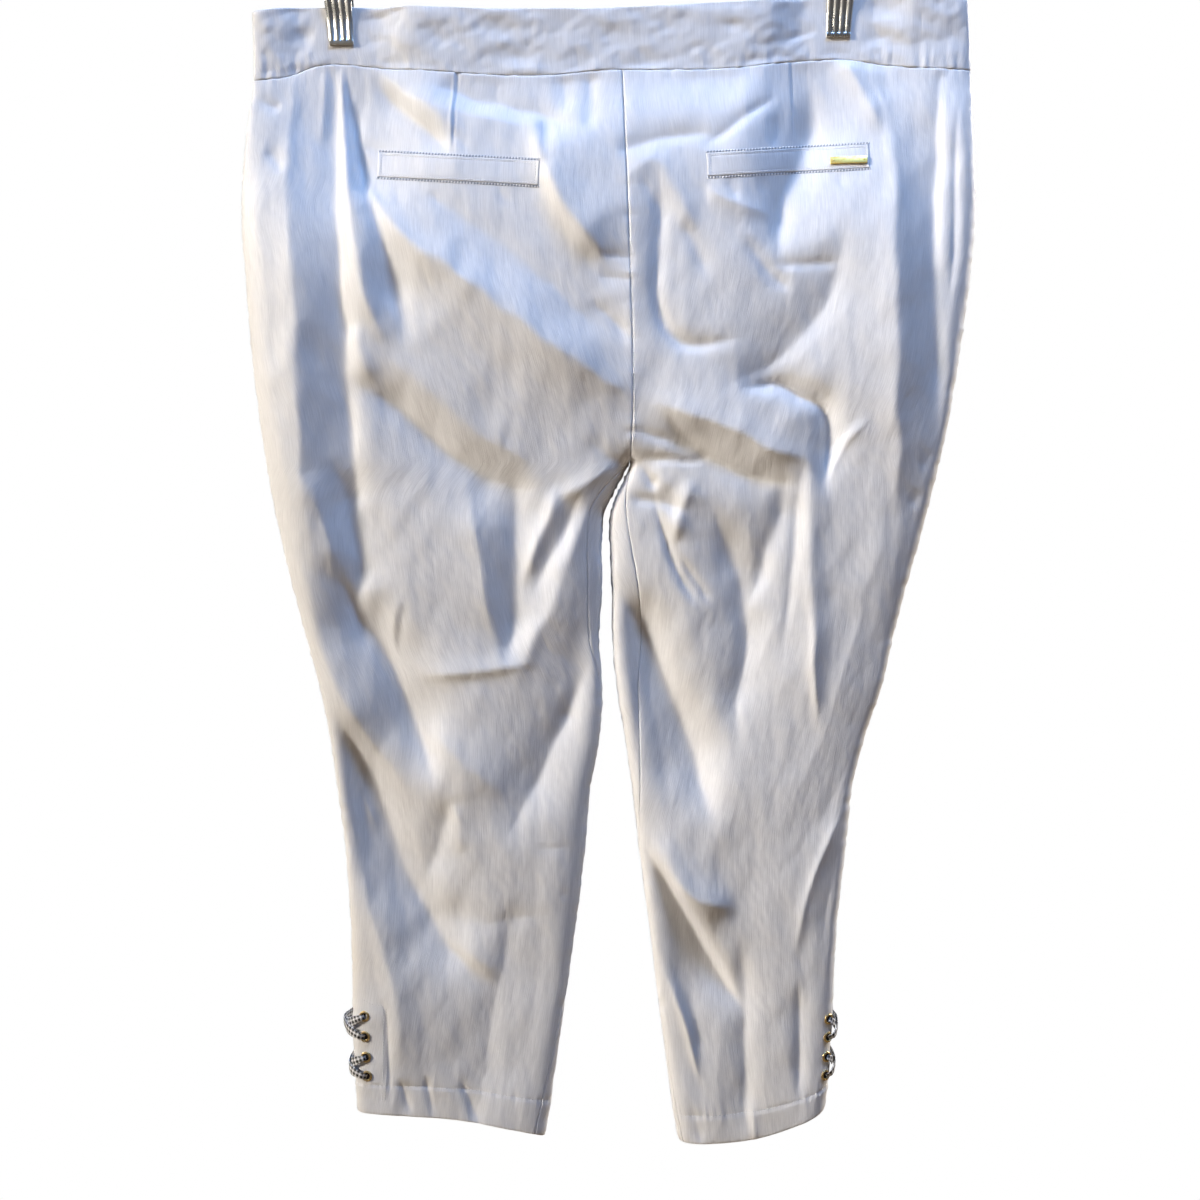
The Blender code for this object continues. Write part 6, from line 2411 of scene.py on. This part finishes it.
@dataclass(frozen=True)
class Clip:
    """A sprung clip on the bar: two ribbed jaws with ears, and the spring between them."""

    leg: Leg
    metal: Mesher
    ribs: int = 4
    rib_height: float = 1.0
    edge: float = 0.5
    rib_points: int = 12
    inner_points: int = 9
    inner_inset: float = 0.1
    sharp: float = 34
    ear_radius: float = 4.5
    ear_hole: float = 3.2
    ear_thickness: float = 1.0
    ear_offset: float = 10.6
    ear_segments: int = 32
    front_inset: float = 1.3
    spring_radius: float = 4.4
    wire_radius: float = 0.6
    turns: int = 4
    turn_steps: int = 26
    spring_length: float = 13
    tab_reach: float = 6.6
    tab_root: float = 0.7
    tab_thinner: float = 0.98
    tab_lower: float = 0.4
    tab_edge: float = 0.15

    def section(self, level: JawLevel, face: Face) -> np.ndarray:
        """A jaw's level section as a closed ring that ends on its first point.

        Args:
            level: The level.
            face: Which jaw.

        Returns:
            The ring's points.
        """
        middle = self.leg * CLIP_LEAN * level.height / (CLIP_TIP_DROP - BAR_DROP)
        width = level.half_width
        across = np.linspace(-1, 1, self.ribs * self.rib_points + 1)
        phase = (across + 1) / 2 * self.ribs
        from_groove = abs(phase - np.round(phase)) * 2
        raised = self.rib_height * level.ribs * np.sin(from_groove * math.pi / 2)
        from_end = (1 - abs(across)) * width
        corner = np.sqrt(1 - (1 - np.clip(from_end / self.edge, 0, 1)) ** 2)
        outer = level.stand_off + (level.wall + raised - self.edge) + self.edge * corner
        inner = np.linspace(1, -1, self.inner_points) * (width - self.inner_inset)
        x = [*(middle + across * width), *(middle + inner)]
        y = [*outer, *np.full(self.inner_points, level.stand_off)]
        ring = np.stack([x, np.array(y) * face, np.full(len(x), level.height)], axis=-1)
        return np.vstack([ring, ring[:1]])

    def jaw(self, face: Face) -> None:
        """Makes one jaw and its ears.

        Args:
            face: Which jaw.
        """
        bm = self.metal.ring_body(np.array([self.section(level, face) for level in JAW_LEVELS]))
        offset = self.ear_offset - (self.front_inset if face == Face.FRONT else 0)
        for end in (-1, 1):
            self.ear(bm, end * offset, -end, face)
        place = Matrix.Translation((self.leg * CLIP_OFFSET, 0, -BAR_DROP))
        bmesh.ops.transform(bm, matrix=place, verts=bm.verts)
        node = f"clip_{self.leg.word}_{face.word}"
        made = self.metal.finish(f"{node}_jaw", bm, self.sharp)
        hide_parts(node)
        log.info("%s", made.name)

    def ear(self, bm: BMesh, x: float, inward: int, face: Face) -> None:
        """Adds one ear: an eye round the bar and a tab to the jaw.

        Args:
            bm: The jaw's bmesh, about the bar's axis.
            x: The ear's outer side.
            inward: The sign of x towards the clip's middle.
            face: Which jaw it belongs to.
        """
        far = x + inward * self.ear_thickness
        hole, rim = self.ear_hole, self.ear_radius
        spun(bm, ((x, hole), (x, rim), (far, rim), (far, hole)), X_AXIS, self.ear_segments, True)
        start = rim * self.tab_root
        length = self.tab_reach - start
        tab = Matrix.Translation(((x + far) / 2, face * (start + length / 2), 0))
        size = (self.ear_thickness * self.tab_thinner, length, rim * 2 - self.tab_lower)
        made = bmesh.ops.create_cube(bm, size=1, matrix=tab @ Matrix.Diagonal((*size, 1)))
        edges = list({edge for vertex in made["verts"] for edge in vertex.link_edges})
        bmesh.ops.bevel(
            bm, geom=edges, offset=self.tab_edge, affect="EDGES", segments=2, profile=0.5, material=-1
        )

    def spring(self) -> None:
        """Makes the wire wound round the bar."""
        steps = self.turns * self.turn_steps
        points = []
        for k in range(steps + 1):
            angle = math.tau * self.turns * k / steps
            x = self.leg * CLIP_OFFSET - self.spring_length / 2 + self.spring_length * k / steps
            across, up = math.sin(angle) * self.spring_radius, math.cos(angle) * self.spring_radius
            points.append((x, across, up - BAR_DROP))
        node = f"clip_{self.leg.word}_spring"
        made = self.metal.wire(f"{node}_wire", points, self.wire_radius)
        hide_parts(node)

    def build(self) -> None:
        """Makes the whole clip."""
        for face in Face:
            self.jaw(face)
        self.spring()


@dataclass(frozen=True)
class Hanger:
    """The clip hanger: hook, collar, bar and two clips."""

    metal: Mesher
    bar_half: float = 229
    stop_radius: float = 4.5
    stop_length: float = 7
    stop_face: float = 1.4
    stop_round: float = 1
    stop_shoulder: float = 0.6
    collar_radius: float = 5.5
    collar_length: float = 16
    collar_bore: float = 3.3
    collar_round: float = 0.8
    groove: tuple[tuple[float, float], ...] = ((2.4, 0), (2.7, 0.35), (3.1, 0.35), (3.4, 0))
    hook_radius: float = 26
    hook_inner: float = 24
    hook_wire: float = 2
    hook_start: float = -62
    hook_sweep: float = 268
    hook_neck: float = 12
    hook_steps: int = 60
    neck_steps: int = 12
    sides: int = 40
    sharp: float = 40

    def turned(self, name: str, half: Sequence[tuple[float, float]], closed: bool) -> Object:
        """A body turned about the bar's axis.

        Args:
            name: The piece's name.
            half: The right half of its profile, as x and radius, which the left mirrors.
            closed: Whether the profile's last point joins the first.

        Returns:
            The finished object.
        """
        profile = [(-x, radius) for x, radius in half] + [(x, radius) for x, radius in reversed(half)]
        bm = bmesh.new()
        spun(bm, profile, X_AXIS, self.sides, closed)
        bmesh.ops.remove_doubles(bm, verts=bm.verts, dist=0.001)
        bmesh.ops.recalc_face_normals(bm, faces=bm.faces)
        bmesh.ops.translate(bm, vec=(0, 0, -BAR_DROP), verts=bm.verts)
        return self.metal.finish(name, bm, self.sharp)

    def bar(self) -> None:
        """Makes the rod and its two stops."""
        end, inner, outer = self.bar_half, self.bar_half - self.stop_length, self.stop_radius
        big, small = self.stop_round, self.stop_shoulder
        half = [
            (end, 0),
            (end, outer - self.stop_face),
            *quarter(end - big, outer - big, big, 0, 6),
            *quarter(inner + small, outer - small, small, math.pi / 2, 5),
            (inner, BAR_RADIUS),
        ]
        made = self.turned("hanger_bar_rod", half, False)
        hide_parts("hanger_bar")

    def collar(self) -> None:
        """Makes the sleeve that the hook stands in."""
        end, outer, edge = self.collar_length / 2, self.collar_radius, self.collar_round
        groove = [(end - inset, outer - depth) for inset, depth in self.groove]
        half = [(end, self.collar_bore), *quarter(end - edge, outer - edge, edge, 0, 6), *groove]
        made = self.turned("hanger_collar_sleeve", half, True)
        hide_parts("hanger_collar")

    def hook(self) -> None:
        """Makes the hook: up from the collar, then round the rail, open on the left."""
        centre = Vector((0, 0, -self.hook_inner))
        start, sweep = math.radians(self.hook_start), math.radians(self.hook_sweep)
        angles = [start + sweep * k / self.hook_steps for k in range(self.hook_steps + 1)]
        bow = [centre + Vector((math.cos(a), 0, math.sin(a))) * self.hook_radius for a in angles]
        foot = Vector((0, 0, -(BAR_DROP - self.collar_radius - GAP)))
        neck = foot + Vector((0, 0, self.hook_neck))
        bend = neck + Vector((0, 0, self.hook_neck))
        arrival = bow[0] - Vector((-math.sin(start), 0, math.cos(start))) * self.hook_neck
        points = [foot, neck]
        for k in range(1, self.neck_steps):
            t = k / self.neck_steps
            onward = 1 - t
            points.append(
                neck * onward**3 + bend * 3 * t * onward**2 + arrival * 3 * t * t * onward + bow[0] * t**3
            )
        points += bow
        made = self.metal.wire("hanger_hook_wire", points, self.hook_wire)
        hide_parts("hanger_hook")
        bm = bmesh.new()
        place = Matrix.Translation(points[-1])
        bmesh.ops.create_uvsphere(bm, u_segments=24, v_segments=14, radius=self.hook_wire, matrix=place)
        self.metal.finish("hanger_hook_tip", bm)

    def build(self) -> None:
        """Makes the whole hanger."""
        self.bar()
        self.collar()
        self.hook()
        for leg in Leg:
            Clip(leg, self.metal).build()
        log.info("hanger: bar, collar, hook and %d clips", len(Leg))


@dataclass(frozen=True)
class Lamp:
    """A soft square light: its colour, power, place, size and aim in metres, and its beam in degrees."""

    name: str
    colour: tuple[float, float, float]
    power: float
    place: tuple[float, float, float]
    size: float
    aim: tuple[float, float, float] = (0, 0, -0.5)
    spread: float = 180
    glossy_only: bool = False

    def behind(self) -> Lamp:
        """The same light on the other side of the object."""
        place, aim = ((-x, -y, z) for x, y, z in (self.place, self.aim))
        return replace(self, name=f"{self.name} behind", place=place, aim=aim)

    def build(self) -> None:
        """Hangs the light."""
        data = bpy.data.lights.new(self.name, "AREA")
        data.color = self.colour
        data.energy = self.power
        data.size = self.size
        data.spread = math.radians(self.spread)
        lamp = bpy.data.objects.new(self.name, data)
        facing = (Vector(self.place) - Vector(self.aim)).to_track_quat("Z", "Y").to_matrix().to_4x4()
        lamp.matrix_world = Matrix.Translation(self.place) @ facing
        lamp.visible_camera = False
        lamp.visible_diffuse = not self.glossy_only
        bpy.context.scene.collection.objects.link(lamp)


@dataclass(frozen=True)
class Studio:
    """The camera, the soft light all round, and the pale floor.

    The dim light all round is ground below, level at eye height and sky above. A rise is the range of
    a direction's height, -1 to 1, over which one passes into the next.
    """

    camera_place: tuple[float, float, float] = (0.0008, -1.15, -0.598)
    camera_roll: float = -0.918
    camera_lens: float = 42.07
    floor_drop: float = 1.3
    floor_radius: float = 14
    lamps: tuple[Lamp, ...] = (
        Lamp("warm", (1.0, 0.92, 0.81), 19.5, (-5.4, -2.4, 2.3), 1.9, (1.35, 0, -1.05), 22),
        Lamp("cool", (0.38, 0.7, 1.35), 18, (0.4, -0.6, 1.15), 0.5),
        Lamp("sheen", (1.0, 0.97, 0.9), 2.5, (-1.3, -1.7, 0.25), 0.8, (0, 0, -0.1), 180, True),
    )
    sky: tuple[float, float, float] = (0.07, 0.076, 0.09)
    level: tuple[float, float, float] = (0.1, 0.094, 0.09)
    ground: tuple[float, float, float] = (0.28, 0.195, 0.11)
    ground_rise: tuple[float, float] = (-0.7, 0)
    sky_rise: tuple[float, float] = (0.05, 0.9)

    def build(self) -> None:
        """Sets the whole studio."""
        scene = bpy.context.scene
        scene.view_settings.view_transform = "Standard"
        data = bpy.data.cameras.new("camera")
        data.lens = self.camera_lens
        data.clip_end = 50
        camera = bpy.data.objects.new("camera", data)
        upright = Matrix.Rotation(math.radians(90), 4, "X")
        roll = Matrix.Rotation(math.radians(self.camera_roll), 4, "Z")
        camera.matrix_world = Matrix.Translation(self.camera_place) @ upright @ roll
        scene.collection.objects.link(camera)
        scene.camera = camera
        self.light()
        self.floor()

    def light(self) -> None:
        """Hangs the lamps in dim light all round, with white where the camera sees past the object."""
        world = bpy.data.worlds.new("soft light")
        bpy.context.scene.world = world
        world.use_nodes = True
        graph = Graph(world.node_tree)
        up = graph.node("SeparateXYZ", {0: graph.node("TexCoord").outputs["Generated"]}).outputs[2]
        colour = graph.blend(graph.mapped(up, *self.ground_rise, 0, 1), (*self.ground, 1), (*self.level, 1))
        colour = graph.blend(graph.mapped(up, *self.sky_rise, 0, 1), colour, (*self.sky, 1))
        soft = graph.node("Background", {"Color": colour, "Strength": 1.0})
        white = graph.node("Background", {"Color": CAMERA_WHITE, "Strength": 1.0})
        seen = graph.node("LightPath").outputs["Is Camera Ray"]
        mixed = graph.node("MixShader", {0: seen, 1: soft.outputs[0], 2: white.outputs[0]})
        graph.node("OutputWorld", {"Surface": mixed.outputs[0]})
        for lamp in (*self.lamps, *(lamp.behind() for lamp in self.lamps if not lamp.glossy_only)):
            lamp.build()

    def floor(self) -> None:
        """Makes the pale floor far below the hems."""
        bm = bmesh.new()
        place = Matrix.Translation((0, 0, -self.floor_drop))
        bmesh.ops.create_circle(bm, cap_ends=True, segments=96, radius=self.floor_radius, matrix=place)
        mesh = bpy.data.meshes.new("floor")
        bm.to_mesh(mesh)
        bm.free()
        material, graph = new_material("floor")
        glow = graph.node("Emission", {"Color": CAMERA_WHITE, "Strength": 1.0})
        graph.node("OutputMaterial", {"Surface": glow.outputs[0]})
        mesh.materials.append(material)
        made = bpy.data.objects.new("floor", mesh)
        bpy.context.scene.collection.objects.link(made)
        made.visible_diffuse = False
        made.visible_glossy = False


def main() -> None:
    """Builds the studio, the hanger and the trousers in order."""
    logging.basicConfig(level=logging.INFO, format="%(name)s: %(message)s")
    Studio().build()
    chrome = Metal((0.72, 0.71, 0.67), (0.56, 0.54, 0.5), 0.24, (900, 900, 60), 40)
    brass = Metal((0.72, 0.55, 0.27), (0.36, 0.25, 0.12), 0.28, (700, 700, 700), 500)
    gold = Metal((0.95, 0.68, 0.2), (0.8, 0.52, 0.12), 0.38, (700, 700, 700), 300)
    # The second thread colour is grey painted shade between the welt's stitches.
    white, shade, dark = (
        Thread((0.95, 0.95, 0.96), 0.5), Thread((0.5, 0.51, 0.56), 0.9), Thread((0.012, 0.011, 0.01), 0.9)
    )
    Hanger(Mesher(chrome.made("chrome"), Slot.CHROME)).build()
    Trousers(
        cotton=Mesher(Sateen().made("cotton sateen"), Slot.COTTON),
        gingham=Mesher(Gingham().made("gingham ribbon"), Slot.GINGHAM),
        brass=Mesher(brass.made("aged brass"), Slot.BRASS),
        gold=Mesher(gold.made("pale gold"), Slot.BRASS),
        thread=Mesher(white.made("white thread"), Slot.COTTON),
        shade=Mesher(shade.made("needle shade"), Slot.COTTON),
        # Black painted shade across the eyelets' holes.
        dark=dark.made("dark hole"),
    ).build()


if __name__ == "__main__":
    main()
